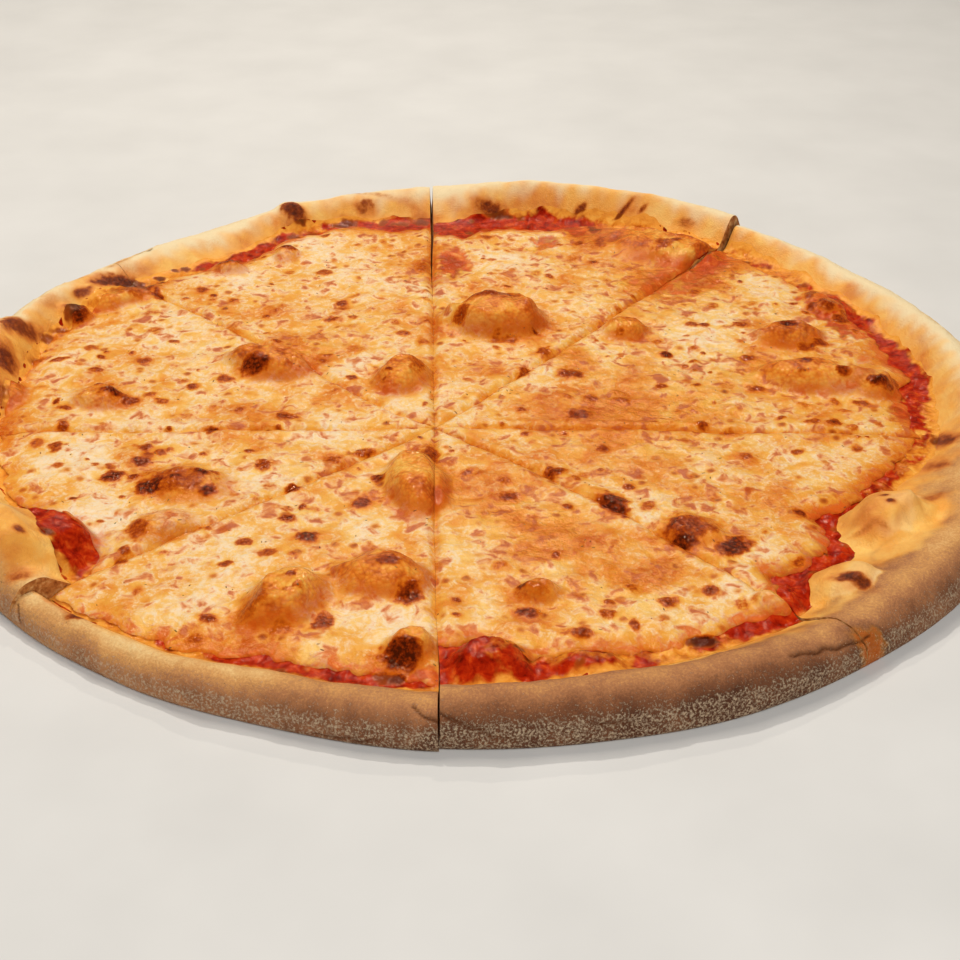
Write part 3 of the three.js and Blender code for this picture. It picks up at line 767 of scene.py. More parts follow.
def oil_and_shade_on_crust(x, y, lines, distance, on_side, turn):
    """How oily the crust is: at the sauce's end, on the bare bubbles and in patches
    that end at the upper part of the rim's outer side. One patch is painted shade in
    the oil's colour, beside the bare bubble at the front right."""
    past_sauce = distance - lines["sauce"]
    creep = round_the_rim(OIL_CREEP, lines["arc"])
    oil_and_shade = np.where(on_side, 0, smooth(1.1 - past_sauce / creep + 0.35 * swell(x, y, 7, 85)))
    oil_and_shade = np.maximum(oil_and_shade, 0.8 * bare_dough(x, y) * smooth(2 - past_sauce / 12))
    upper_part = np.where(on_side, smooth((turn - 0.4) / 0.7), 1)
    for *ellipse, amount in OIL_AND_SHADE_ON_CRUST:
        out = radius_share(x, y, *ellipse) + 0.3 * swell(x, y, 7, 86)
        oil_and_shade = np.maximum(oil_and_shade, amount * smooth((1.5 - out) / 0.9) * upper_part)
    return oil_and_shade


# ---- The three layers of a slice -------------------------------------------------


def lower_side(slice_, end, floor):
    """The hidden lower side of the sauce or the cheese: flat, and near the line where
    the layer ends it rises with the dough, to close the layer's thin edge. It sinks
    out of sight where the dough is bare."""
    middle = slice_.middle_lines()[end]
    turn_up = 1 - UPTURN / middle
    flat_rings = np.linspace(0, turn_up, int(middle / HIDDEN_RING))[:-1]
    rings = np.concatenate([flat_rings, np.linspace(turn_up, 1, UPTURN_RINGS)])
    rows = Rows(row_counts(rings * middle, slice_.width, LOWER_SPACING))
    lines = slice_.lines(rows.share)
    distance = lines[end] * rings[rows.row]
    x, y = slice_.place(rows.share, distance)
    rise = dough_height(lines, x, y, distance) - BASE_THICKNESS
    height = floor + (rise - 0.35) * smooth((distance - lines[end] + UPTURN) / 8)
    height = height - BARE_SINK["lower"] * bare_dough(x, y)
    return rows, distance, np.stack([x, y, height], axis=1)


def make_cheese(slice_, materials):
    """Melted cheese from the tip to its own uneven edge. Returns its upper side, and
    where dried herbs lie on it."""
    middle = slice_.middle_lines()["cheese"]
    rings = np.linspace(0, 1, int(middle / FINE) + 1)
    # One more ring, 0.3 mm outside the edge, closes the cheese downwards.
    rings = np.concatenate([rings, [1 + 0.3 / middle]])
    rows = Rows(row_counts(rings * middle, slice_.width, FINE))
    lines = slice_.lines(rows.share)
    ring = rings[rows.row]
    distance = lines["cheese"] * ring
    x, y = slice_.place(rows.share, distance)

    toast, halo, blister = spot_fields(x, y, ALL_SPOTS)
    oil = oiliness(x, y)
    red = sauce_showing(x, y)
    amber, foot = bubble_paint(x, y)
    from_edge = lines["cheese"] - distance
    thin = smooth(1 - from_edge / CHEESE_LIP)
    from_cut = slice_.to_cut(rows.share, distance)
    by_cut = np.exp(-((from_cut / 1.5) ** 2))

    bottom = dough_height(lines, x, y, distance) + CHEESE_FLOOR - BASE_THICKNESS
    body = CHEESE_THICKNESS + cheese_lump(x, y) + uneven(x, y, CHEESE_SURFACE)
    body = body - 0.35 * np.clip(oil, -0.6, 1)
    body = body + SPOT_BLISTER * blister + 0.25 * toast * swell(x, y, 2.4, 54)
    body = body - 0.8 * red * (1 - toast)
    # The cutter pressed the cheese down, and pushed it up a little on both sides.
    body = body + 0.4 * np.exp(-(((from_cut - 4.5) / 2.2) ** 2)) * smooth(distance / 40)
    rounded = np.sqrt(np.clip(1 - (1 - np.clip(from_edge / CHEESE_ROUND, 0, 1)) ** 2, 0, 1))
    lip = 0.4 * rounded + 0.6 * smooth(from_edge / CHEESE_LIP)
    body = (body - 1.4 * by_cut) * mix(0.12, 1, lip)
    body = body - BARE_SINK["cheese"] * bare_dough(x, y)
    height = np.where(ring > 1, bottom - 0.25, bottom + body)

    places, faces = make_wedge(
        "melted_cheese",
        "cheese",
        slice_,
        (rows, distance, np.stack([x, y, height], axis=1)),
        lower_side(slice_, "cheese", CHEESE_FLOOR),
        dict(
            toast=(toast, 0),
            halo=(halo, 0),
            oil=(oil + 0.5 * thin + 0.5 * by_cut, 0),
            red=(np.maximum(red, 0.75 * thin * redness(lines["arc"])), 0.8),
            amber=(amber, 0),
            # The bubbles' feet carry painted shade on their front side.
            foot=(foot, 0),
        ),
        materials,
    )
    herbs = smooth(0.5 + 0.9 * swell(x, y, 16, 58)) * (1 - red)
    return places, faces, herbs


def make_sauce(slice_, materials):
    """Tomato sauce from the tip to the rim's slope. It is fine only where it shows."""
    middle = slice_.middle_lines()
    covered_end = middle["cheese"] - HIDDEN_RING
    covered = np.linspace(0, covered_end, max(3, int(middle["cheese"] / HIDDEN_RING)))
    ring_width = middle["sauce"] - middle["cheese"] + SAUCE_TUCK
    shown = np.linspace(0, 1, int(ring_width / FINE) + 1)
    counts = row_counts(covered, slice_.width, HIDDEN_SPACING)
    counts += row_counts([middle["sauce"]] * len(shown), slice_.width, FINE)
    rows = Rows(counts)
    lines = slice_.lines(rows.share)
    hidden = rows.row < len(covered)
    share_out = shown[np.clip(rows.row - len(covered), 0, None)]
    flat = covered[np.minimum(rows.row, len(covered) - 1)] / covered_end
    distance = np.where(
        hidden,
        flat * (lines["cheese"] - HIDDEN_RING),
        mix(lines["cheese"] - SAUCE_TUCK, lines["sauce"], share_out),
    )
    x, y = slice_.place(rows.share, distance)

    toast, _, blister = spot_fields(x, y, ALL_SPOTS)
    lip = smooth((lines["sauce"] - distance) / SAUCE_LIP)
    film = smooth((distance - lines["sauce"] + SAUCE_LIP) / SAUCE_LIP)
    pulp = uneven(x, y, SAUCE_PULP)
    body = (LAYER_GAP + SAUCE_THICKNESS + pulp + 0.5 * blister) * lip
    body = body - BARE_SINK["sauce"] * bare_dough(x, y)
    shown_height = dough_height(lines, x, y, distance) + body
    height = np.where(hidden, SAUCE_FLOOR + SAUCE_THICKNESS, shown_height)

    covered_share = 1 - redness(lines["arc"])
    make_wedge(
        "tomato_sauce",
        "sauce",
        slice_,
        (rows, distance, np.stack([x, y, height], axis=1)),
        lower_side(slice_, "sauce", SAUCE_FLOOR),
        dict(
            toast=(toast, 0),
            oil=(film * (1 - 0.45 * redness(lines["arc"])), 0.5),
            melt=(covered_share * (1 - sauce_showing(x, y)), 0),
        ),
        materials,
    )


def make_crust(slice_, materials):
    """Dough from the tip over the rim and round under it. Returns its upper side, and
    where semolina sticks to it."""
    middle = slice_.middle_lines()
    flat_end = middle["sauce"] - HIDDEN_DOUGH - HIDDEN_STEP
    inner = np.linspace(0, flat_end, int(middle["sauce"] / HIDDEN_RING))
    slope_length = middle["crest"] - middle["sauce"] + HIDDEN_DOUGH
    slope = np.linspace(0, 1, int(slope_length / FINE) + 1)
    side = np.linspace(90, 0, RIM_SIDE_ROWS)[1:]
    under = np.linspace(0, -90, RIM_UNDER_ROWS)[1:]
    turns = np.concatenate([side, under])
    counts = row_counts(inner, slice_.width, HIDDEN_SPACING)
    counts += row_counts([middle["reach"]] * (len(slope) + len(turns)), slice_.width, FINE)
    rows = Rows(counts)
    lines = slice_.lines(rows.share)
    on_inner = rows.row < len(inner)
    on_slope = ~on_inner & (rows.row < len(inner) + len(slope))
    on_side = ~on_inner & ~on_slope
    flat = inner[np.minimum(rows.row, len(inner) - 1)] / flat_end
    slope_share = slope[np.clip(rows.row - len(inner), 0, len(slope) - 1)]
    turn = np.radians(turns[np.clip(rows.row - len(inner) - len(slope), 0, len(turns) - 1)])

    # The plain shape: flat, up the slope, over the crest and round under the rim.
    below = turn < 0
    depth = np.where(below, RIM_FOOT_INSET, lines["reach"] - lines["crest"])
    outer = lines["reach"] - depth * (1 - np.cos(turn))
    up_slope = mix(lines["sauce"] - HIDDEN_DOUGH, lines["crest"], slope_share)
    inside = flat * (lines["sauce"] - HIDDEN_DOUGH - HIDDEN_STEP)
    distance = np.where(on_inner, inside, np.where(on_slope, up_slope, outer))
    open_share = np.where(on_side, smooth(2 * np.sin(turn)), 1)
    x, y = slice_.place(rows.share, distance, open_share)
    crest_height = lines["rim"] + bubble_rise(*slice_.place(rows.share, lines["crest"]))
    side_height = np.where(
        below,
        RIM_WIDEST_HEIGHT * (1 + np.sin(turn)),
        mix(RIM_WIDEST_HEIGHT, crest_height, np.sin(np.maximum(turn, 0))),
    )
    slope_height = dough_height(lines, x, y, distance)
    height = np.where(on_inner, BASE_THICKNESS, np.where(on_slope, slope_height, side_height))

    # The skin's unevenness and cracks, pushed out along the surface.
    arc = lines["arc"]
    run = np.where(on_slope, distance - lines["crest"], (math.pi / 2 - turn) * RIM_ROUND)
    height_share = height / np.maximum(crest_height, 1)
    crack = np.where(on_side, crack_depth(arc % (math.tau * RIM_RADIUS), height_share), 0)
    relief = np.where(on_inner, 0, uneven(arc, run, CRUST_RELIEF) - CRACK_DEPTH * crack)
    near_table = smooth((height - 0.5) / 3)
    near_sauce = smooth((distance - lines["sauce"] + 1) / 6)
    push = relief * np.where(on_side, near_table, near_sauce)
    lean = np.where(on_side, np.maximum(turn, 0), math.pi / 2)
    angle = mix(slice_.start, slice_.end, rows.share)
    x = x + np.cos(angle) * np.cos(lean) * push
    y = y + np.sin(angle) * np.cos(lean) * push
    height = height + np.sin(lean) * push

    low_rings = np.linspace(0, 1, UNDERSIDE_RINGS)
    foot = middle["reach"] - RIM_FOOT_INSET
    low_rows = Rows(row_counts(low_rings * foot, slice_.width, LOWER_SPACING))
    low_reach = slice_.lines(low_rows.share)["reach"] - RIM_FOOT_INSET - 0.5
    low_distance = low_reach * low_rings[low_rows.row]
    low_x, low_y = slice_.place(low_rows.share, low_distance, 0)

    toast, halo, _ = spot_fields(x, y, SPOTS_ON_CRUST, arc, run)
    side_share = np.where(on_side, np.clip(1 - height_share, 0, 1), 0)
    places, faces = make_wedge(
        "baked_crust",
        "crust",
        slice_,
        (rows, distance, np.stack([x, y, height], axis=1)),
        (low_rows, low_distance, np.stack([low_x, low_y, low_x * 0], axis=1)),
        dict(
            toast=(toast, 0),
            halo=(halo, 0),
            # The rim's brown holds painted shade, darker towards the front.
            bake=(round_the_rim(RIM_BAKE_AND_SHADE, arc) * (1 - bare_dough(x, y)), UNDERSIDE_BAKE),
            oil_and_shade=(oil_and_shade_on_crust(x, y, lines, distance, on_side, turn), 0),
            side=(side_share, 1),
            crack=(crack, 0),
            # The crest is painted paler: painted light on the top of the rim.
            crest=(np.exp(-((run / 8) ** 2)), 0),
        ),
        materials,
    )
    gritty = np.where(on_side & (turn > 0.05), smooth(1.5 * side_share), 0)
    gritty = gritty * smooth(0.7 + 0.7 * swell(arc, run, 14, 87))
    return places, faces, gritty


# ---- Materials -------------------------------------------------------------------


def linear(code):
    """An sRGB hex colour as linear red, green, blue and alpha."""
    channels = [int(code[i : i + 2], 16) / 255 for i in (1, 3, 5)]
    return [c / 12.92 if c <= 0.04045 else ((c + 0.055) / 1.055) ** 2.4 for c in channels] + [1]


def add(tree, kind, inputs=None, stops=None, **settings):
    """Adds a node with its settings. Each input is a value or the socket that feeds it."""
    node = tree.nodes.new(kind)
    for name, value in settings.items():
        setattr(node, name, value)
    for key, value in (inputs or {}).items():
        if isinstance(value, bpy.types.NodeSocket):
            tree.links.new(value, node.inputs[key])
        else:
            node.inputs[key].default_value = value
    if stops:
        ramp = node.color_ramp.elements
        while len(ramp) < len(stops):
            ramp.new(0.5)
        for element, (position, code) in zip(ramp, stops):
            element.position = position
            element.color = linear(code)
    return node


def per_size(millimetres):
    """The scale of a pattern in metres whose lumps are this many millimetres wide."""
    return 1 / (millimetres * METRES)


def new_material(name):
    """An empty material and its node tree."""
    material = bpy.data.materials.new(name)
    material.use_nodes = True
    material.node_tree.nodes.clear()
    return material, material.node_tree


def weighed(tree, start, *masks):
    """The sum of a start and some masks, each given with its weight."""
    total = start
    for mask, weight in masks:
        total = add(tree, "ShaderNodeMath", {
            0: mask, 1: weight, 2: total,
        }, operation="MULTIPLY_ADD").outputs[0]
    return total


def laid_over(tree, ground, *layers):
    """A ground colour with layers over it, each given as its share and its colour."""
    colour = ground
    for share, over in layers:
        colour = add(tree, "ShaderNodeMix", {
            0: share, 6: colour, 7: over,
        }, data_type="RGBA").outputs[2]
    return colour


def tinted(tree, value, start, full, most, stops, easing="SMOOTHSTEP"):
    """A layer that follows one value: its share, none up to the start and the most from
    where the value is full, and its colour."""
    colour = add(tree, "ShaderNodeValToRGB", {0: value}, stops=stops).outputs["Color"]
    share = add(tree, "ShaderNodeMapRange", {
        0: value, 1: start, 2: full, 3: 0.0, 4: most,
    }, interpolation_type=easing).outputs[0]
    return share, colour


def milky_curds(tree, curds, flow, grain, oil, halo):
    """Curds that kept their milk, the more where there is little oil."""
    milk = weighed(tree, curds, (oil, -0.15), (flow, -0.4), (halo, -0.16), (grain, 0.4))
    return tinted(tree, milk, 0.38, 0.58, 0.88, [
        (0.42, "#eec078"), (0.54, "#f0cf9c"), (0.7, "#eddcc2"),
    ])


def oil_threads(tree, place):
    """Golden oil in thin threads round the curds, along one level of a noise."""
    level = add(tree, "ShaderNodeTexNoise", {
        "Vector": place, "Scale": per_size(5.5), "Detail": 3, "Roughness": 0.6, "Distortion": 0.8,
    }).outputs["Fac"]
    off_level = add(tree, "ShaderNodeMath", {0: level, 1: 0.52}, operation="SUBTRACT").outputs[0]
    off_level = add(tree, "ShaderNodeMath", {0: off_level}, operation="ABSOLUTE").outputs[0]
    share = add(tree, "ShaderNodeMapRange", {
        0: off_level, 1: 0.0, 2: 0.035, 3: 0.36, 4: 0.0,
    }).outputs[0]
    return share, linear("#e09c3c")


def orange_freckles(tree, drift, oil):
    """Every cell holds one soft orange freckle, some faint and some strong."""
    cells = add(tree, "ShaderNodeTexVoronoi", {
        "Vector": drift, "Scale": per_size(7), "Randomness": 1.0,
    })
    strength = add(tree, "ShaderNodeSeparateColor", {0: cells.outputs["Color"]}).outputs[0]
    strength = add(tree, "ShaderNodeMapRange", {
        0: weighed(tree, strength, (oil, 0.2)), 1: 0.25, 2: 1.05, 3: 0.0, 4: 1.0,
    }).outputs[0]
    freckle = add(tree, "ShaderNodeMapRange", {
        0: cells.outputs["Distance"], 1: 0.52, 2: 0.0, 3: 0.0, 4: 1.1,
    }, interpolation_type="SMOOTHSTEP").outputs[0]
    freckle = add(tree, "ShaderNodeMath", {0: freckle, 1: strength}, operation="MULTIPLY").outputs[0]
    return tinted(tree, freckle, 0.02, 0.55, 0.95, [
        (0.1, "#ecac4a"), (0.4, "#dc8a2c"), (0.7, "#bc5e1a"), (1.0, "#8c360e"),
    ], easing="LINEAR")


def browned_blots(tree, blots, oil):
    """Larger blots where the melt began to brown."""
    blot = weighed(tree, blots, (oil, 0.08))
    return tinted(tree, blot, 0.49, 0.66, 0.9, [
        (0.52, "#ea9f3c"), (0.6, "#d97820"), (0.7, "#b64a12"),
    ])


def amber_bubbles(tree, flow, blots, pimples, amber):
    """The tops of the bubbles, where the melt is thin, tight and browned."""
    browned = weighed(tree, -0.45, (flow, 1.1), (blots, 0.7), (pimples, 0.25))
    colour = add(tree, "ShaderNodeValToRGB", {0: browned}, stops=[
        (0.3, "#f0b656"), (0.46, "#ea9a38"), (0.6, "#de7a24"), (0.74, "#bc5012"), (0.9, "#8e3008"),
    ]).outputs["Color"]
    share = add(tree, "ShaderNodeMath", {0: amber, 1: 0.85}, operation="MULTIPLY").outputs[0]
    return share, colour


def broken_through(tree, curds, blots, red):
    """Sauce that broke through the cheese, ragged along the curds."""
    edge = add(tree, "ShaderNodeMath", {
        0: red, 1: weighed(tree, -0.8, (curds, 1.6)),
    }, operation="ADD").outputs[0]
    most = add(tree, "ShaderNodeMapRange", {0: red, 1: 0.03, 2: 0.3, 3: 0.0, 4: 0.9}).outputs[0]
    colour = add(tree, "ShaderNodeValToRGB", {0: blots}, stops=[
        (0.35, "#961a04"), (0.5, "#bc370e"), (0.62, "#d8641e"), (0.72, "#e69044"),
    ]).outputs["Color"]
    share = add(tree, "ShaderNodeMapRange", {
        0: edge, 1: 0.15, 2: 0.9, 3: 0.0, 4: most,
    }, interpolation_type="SMOOTHSTEP").outputs[0]
    return share, colour


def toasted_cheese(tree, grain, toast):
    """Golden to dark brown blisters, uneven in fine grains."""
    uneven_share = weighed(tree, 0.08, (grain, 1.7))
    brown = add(tree, "ShaderNodeMath", {0: toast, 1: uneven_share}, operation="MULTIPLY").outputs[0]
    return tinted(tree, brown, 0.08, 0.45, 1.0, [
        (0.15, "#df8a28"), (0.35, "#c8600f"), (0.6, "#9c3a08"), (0.85, "#742404"), (1.0, "#4a1604"),
    ])


def melted_cheese():
    """Low-moisture cheese, melted and toasted: milky curds in a yellow, oily melt with
    golden to dark brown blisters. It is soft to the eye, with a wet gleam on the oil."""
    material, tree = new_material("melted_toasted_cheese")
    place = add(tree, "ShaderNodeTexCoord").outputs["Object"]
    toast, halo, oil, red, amber, foot = [
        add(tree, "ShaderNodeAttribute", attribute_name=name).outputs["Fac"]
        for name in ("toast", "halo", "oil", "red", "amber", "foot")
    ]

    # Shreds of cheese melt to curds and blots about 7 mm wide, which flow together in
    # sheets of about 22 mm. Their own grain and the pimples are under 2 mm.
    flow = add(tree, "ShaderNodeTexNoise", {
        "Vector": place, "Scale": per_size(22), "Detail": 3, "Roughness": 0.5, "Distortion": 0.4,
    }).outputs["Fac"]
    curd_noise = add(tree, "ShaderNodeTexNoise", {
        "Vector": place, "Scale": per_size(7), "Detail": 5, "Roughness": 0.64, "Distortion": 0.6,
    })
    curds = curd_noise.outputs["Fac"]
    # The curds push the freckles' cells about by up to 3 mm, so none has straight sides.
    drift = add(tree, "ShaderNodeVectorMath", {
        0: curd_noise.outputs["Color"], 1: (0.003, 0.003, 0.003), 2: place,
    }, operation="MULTIPLY_ADD").outputs[0]
    blots = add(tree, "ShaderNodeTexNoise", {
        "Vector": place, "Scale": per_size(7), "Detail": 3, "Roughness": 0.55, "Distortion": 0.5,
    }).outputs["Fac"]
    grain = add(tree, "ShaderNodeTexNoise", {
        "Vector": place, "Scale": per_size(1.6), "Detail": 3, "Roughness": 0.6,
    }).outputs["Fac"]
    pimples = add(tree, "ShaderNodeTexVoronoi", {
        "Vector": place, "Scale": per_size(1.8), "Randomness": 1.0,
    }).outputs["Distance"]

    warmth = weighed(tree, -0.45, (flow, 1.6), (oil, 0.35), (halo, 0.4), (grain, 0.4))
    melt = add(tree, "ShaderNodeValToRGB", {0: warmth}, stops=[
        (0.3, "#f0c06a"), (0.55, "#e8a442"), (0.8, "#dc7e22"), (1.0, "#c45a14"),
    ]).outputs["Color"]
    foot_shade_share = add(tree, "ShaderNodeMath", {0: foot, 1: 0.75}, operation="MULTIPLY").outputs[0]
    colour = laid_over(
        tree,
        melt,
        milky_curds(tree, curds, flow, grain, oil, halo),
        oil_threads(tree, place),
        orange_freckles(tree, drift, oil),
        browned_blots(tree, blots, oil),
        amber_bubbles(tree, flow, blots, pimples, amber),
        # Painted shade: red-brown at the bubbles' feet on the side towards the front.
        (foot_shade_share, linear("#c4500e")),
        broken_through(tree, curds, blots, red),
        toasted_cheese(tree, grain, toast),
    )

    # What browned is pimpled and tight. It gleams as the oil does, warm from the melt.
    blistered = add(tree, "ShaderNodeMath", {0: amber, 1: toast}, operation="MAXIMUM").outputs[0]
    pimple = add(tree, "ShaderNodeMath", {0: blistered, 1: pimples}, operation="MULTIPLY").outputs[0]
    relief = weighed(tree, grain, (curds, 0.8), (pimple, -1.0))
    bump = add(tree, "ShaderNodeBump", {"Strength": 0.5, "Distance": 0.0009, "Height": relief})
    wet = weighed(tree, oil, (blistered, 0.8))
    roughness = add(tree, "ShaderNodeMapRange", {0: wet, 1: -0.2, 2: 0.8, 3: 0.5, 4: 0.14}).outputs[0]
    shader = add(tree, "ShaderNodeBsdfPrincipled", {
        "Base Color": colour, "Roughness": roughness, "Normal": bump.outputs[0],
        "IOR": 1.4, "Specular IOR Level": 0.4, "Specular Tint": linear("#ffd09a"),
        "Subsurface Weight": 0.1, "Subsurface Radius": (0.002, 0.0015, 0.001),
        "Subsurface Scale": 1.0,
    })
    add(tree, "ShaderNodeOutputMaterial", {"Surface": shader.outputs[0]})
    return material


def tomato_sauce():
    """Cooked crushed tomato: deep red pulp, wet and shiny. Where cheese or oil ran over
    it, it is orange, and golden where it thins out on the dough."""
    material, tree = new_material("cooked_tomato_sauce")
    place = add(tree, "ShaderNodeTexCoord").outputs["Object"]
    toast, oil, melt = [
        add(tree, "ShaderNodeAttribute", attribute_name=name).outputs["Fac"]
        for name in ("toast", "oil", "melt")
    ]

    # Crushed pulp comes in pieces of about 4.5 mm, with a grain of 2 mm in them.
    pulp = add(tree, "ShaderNodeTexNoise", {
        "Vector": place, "Scale": per_size(4.5), "Detail": 4, "Roughness": 0.6, "Distortion": 0.4,
    }).outputs["Fac"]
    patches = add(tree, "ShaderNodeTexNoise", {
        "Vector": place, "Scale": per_size(10), "Detail": 3, "Roughness": 0.55, "Distortion": 0.3,
    }).outputs["Fac"]
    grain = add(tree, "ShaderNodeTexNoise", {
        "Vector": place, "Scale": per_size(2.0), "Detail": 3, "Roughness": 0.6,
    }).outputs["Fac"]

    wet = add(tree, "ShaderNodeValToRGB", {0: pulp}, stops=[
        (0.3, "#6c0c02"), (0.45, "#9e1c05"), (0.58, "#bc300a"), (0.72, "#d45418"),
    ]).outputs["Color"]
    golden = add(tree, "ShaderNodeValToRGB", {0: pulp}, stops=[
        (0.3, "#bc5010"), (0.5, "#e08a28"), (0.7, "#f0b24e"),
    ]).outputs["Color"]
    film_share = add(tree, "ShaderNodeMath", {0: oil, 1: 1.5}, operation="POWER").outputs[0]
    golden = laid_over(tree, golden, (film_share, linear("#f6ab46")))
    golden_share = add(tree, "ShaderNodeMapRange", {
        0: weighed(tree, -0.9, (patches, 1.5), (melt, 1.2), (oil, 0.7)),
        1: 0.25, 2: 0.6, 3: 0.0, 4: 0.95,
    }, interpolation_type="SMOOTHSTEP").outputs[0]
    toasted = tinted(tree, toast, 0.15, 0.6, 0.95, [
        (0.2, "#c46420"), (0.5, "#96400f"), (1.0, "#4c1c0c"),
    ])
    colour = laid_over(tree, wet, (golden_share, golden), toasted)

    bump = add(tree, "ShaderNodeBump", {"Strength": 0.6, "Distance": 0.0009, "Height": grain})
    roughness = add(tree, "ShaderNodeMapRange", {0: pulp, 1: 0.3, 2: 0.7, 3: 0.1, 4: 0.22}).outputs[0]
    shader = add(tree, "ShaderNodeBsdfPrincipled", {
        "Base Color": colour, "Roughness": roughness, "Normal": bump.outputs[0],
        "IOR": 1.4, "Specular IOR Level": 0.25, "Specular Tint": linear("#ffc8a0"),
    })
    add(tree, "ShaderNodeOutputMaterial", {"Surface": shader.outputs[0]})
    return material


def baked_crust():
    """Floured wheat dough baked on a hot floor: matt, pale cream to tan and brown, with
    a gritty dusting of flour low on the side and an oily golden edge at the sauce. Its
    colour holds painted shade at the front, low on the side and in the cracks, and
    painted light on the crest."""
    material, tree = new_material("floured_baked_crust")
    place = add(tree, "ShaderNodeTexCoord").outputs["Object"]
    toast, halo, bake, oil_and_shade, side, crack, crest = [
        add(tree, "ShaderNodeAttribute", attribute_name=name).outputs["Fac"]
        for name in ("toast", "halo", "bake", "oil_and_shade", "side", "crack", "crest")
    ]

    # The skin browns in patches of about 20 mm and chars in specks of 2.6 mm. Flour is
    # finer than 0.1 mm, too fine to show here, so its grit is drawn 0.9 mm wide.
    patches = add(tree, "ShaderNodeTexNoise", {
        "Vector": place, "Scale": per_size(20), "Detail": 4, "Roughness": 0.6, "Distortion": 0.3,
    }).outputs["Fac"]
    mottle = add(tree, "ShaderNodeTexNoise", {
        "Vector": place, "Scale": per_size(2.6), "Detail": 3, "Roughness": 0.65,
    }).outputs["Fac"]
    grit = add(tree, "ShaderNodeTexNoise", {
        "Vector": place, "Scale": per_size(0.9), "Detail": 3, "Roughness": 0.7,
    }).outputs["Fac"]

    # The side turns browner and more floury downwards, most of it by half way down. The browning is
    # partly its baked colour and partly painted shade, deeper towards the table.
    flour_and_shade_band = add(tree, "ShaderNodeFloatCurve", {1: side}).outputs[0]
    curve = flour_and_shade_band.node.mapping.curves[0]
    for position, value in ((0.25, 0.3), (0.5, 0.85), (0.75, 0.8)):
        curve.points.new(position, value)
    curve.points[0].location = (0, 0)
    curve.points[-1].location = (1, 1)
    flour_and_shade_band.node.mapping.update()

    tone = weighed(tree, -0.3, (patches, 0.6))
    # The rim's brown, with its painted shade at the front.
    tone = add(tree, "ShaderNodeMath", {0: tone, 1: bake}, operation="ADD").outputs[0]
    # The side darkens downwards with painted shade, and the crest is lighter with painted light.
    tone = weighed(tree, tone, (flour_and_shade_band, 0.22), (crest, -0.24), (grit, 0.5))
    tone = add(tree, "ShaderNodeMath", {0: tone, 1: 0.25}, operation="SUBTRACT").outputs[0]
    tone = weighed(tree, tone, (halo, 0.3))
    skin = add(tree, "ShaderNodeValToRGB", {0: tone}, stops=[
        (0.0, "#f2dbae"), (0.22, "#ecc282"), (0.42, "#d79c5c"),
        (0.62, "#b0764c"), (0.82, "#805034"), (1.0, "#523020"),
    ]).outputs["Color"]
    oil_and_shade_colour = add(tree, "ShaderNodeValToRGB", {0: weighed(tree, patches, (halo, 0.35))}, stops=[
        (0.3, "#fecb6c"), (0.5, "#f6ab46"), (0.68, "#e08430"), (0.9, "#b8561c"),
    ]).outputs["Color"]
    # Oil, with one patch of painted shade beside the bare bubble at the front right.
    oil_and_shade_share = add(tree, "ShaderNodeMath", {0: oil_and_shade, 1: 0.95}, operation="MULTIPLY").outputs[0]
    flour_share = add(tree, "ShaderNodeMapRange", {
        0: weighed(tree, grit, (flour_and_shade_band, 0.2)), 1: 0.62, 2: 0.82, 3: 0.0, 4: 0.65,
    }).outputs[0]
    uneven_share = weighed(tree, 0.1, (mottle, 1.5))
    brown = add(tree, "ShaderNodeMath", {0: toast, 1: uneven_share}, operation="MULTIPLY").outputs[0]
    charred = tinted(tree, brown, 0.04, 0.55, 1.0, [
        (0.15, "#dc9036"), (0.38, "#bc6422"), (0.65, "#8c3c14"), (1.0, "#54200e"),
    ])
    # Painted shade: dark brown down the rim's cracks.
    crack_shade_share = add(tree, "ShaderNodeMath", {0: crack, 1: 0.85}, operation="MULTIPLY").outputs[0]
    colour = laid_over(
        tree,
        skin,
        (oil_and_shade_share, oil_and_shade_colour),
        (flour_share, linear("#d8bf9c")),
        charred,
        (crack_shade_share, linear("#5a3018")),
    )

    bump = add(tree, "ShaderNodeBump", {"Strength": 0.8, "Distance": 0.0007, "Height": grit})
    roughness = add(tree, "ShaderNodeMapRange", {0: oil_and_shade, 1: 0.0, 2: 1.0, 3: 0.82, 4: 0.4}).outputs[0]
    shader = add(tree, "ShaderNodeBsdfPrincipled", {
        "Base Color": colour, "Roughness": roughness, "Normal": bump.outputs[0],
        "IOR": 1.4, "Specular IOR Level": 0.35,
    })
    add(tree, "ShaderNodeOutputMaterial", {"Surface": shader.outputs[0]})
    return material


def shaded_bread_crumb():
    """The cut inside of the crust: moist crumb with fine holes, painted in darker browns than crumb as
    the shade in the narrow gaps between the slices.
    """
    material, tree = new_material("cut_bread_crumb")
    place = add(tree, "ShaderNodeTexCoord").outputs["Object"]

    # The holes of a thin, moist crumb are about 2.6 mm wide.
    holes = add(tree, "ShaderNodeTexNoise", {
        "Vector": place, "Scale": per_size(2.6), "Detail": 3, "Roughness": 0.6,
    }).outputs["Fac"]
    colour = add(tree, "ShaderNodeValToRGB", {0: holes}, stops=[
        (0.3, "#84461c"), (0.5, "#b4743a"), (0.7, "#d8a86c"),
    ]).outputs["Color"]
    bump = add(tree, "ShaderNodeBump", {"Strength": 0.8, "Distance": 0.0012, "Height": holes})
    shader = add(tree, "ShaderNodeBsdfPrincipled", {
        "Base Color": colour, "Roughness": 0.8, "Normal": bump.outputs[0], "IOR": 1.45,
    })
    add(tree, "ShaderNodeOutputMaterial", {"Surface": shader.outputs[0]})
    return material


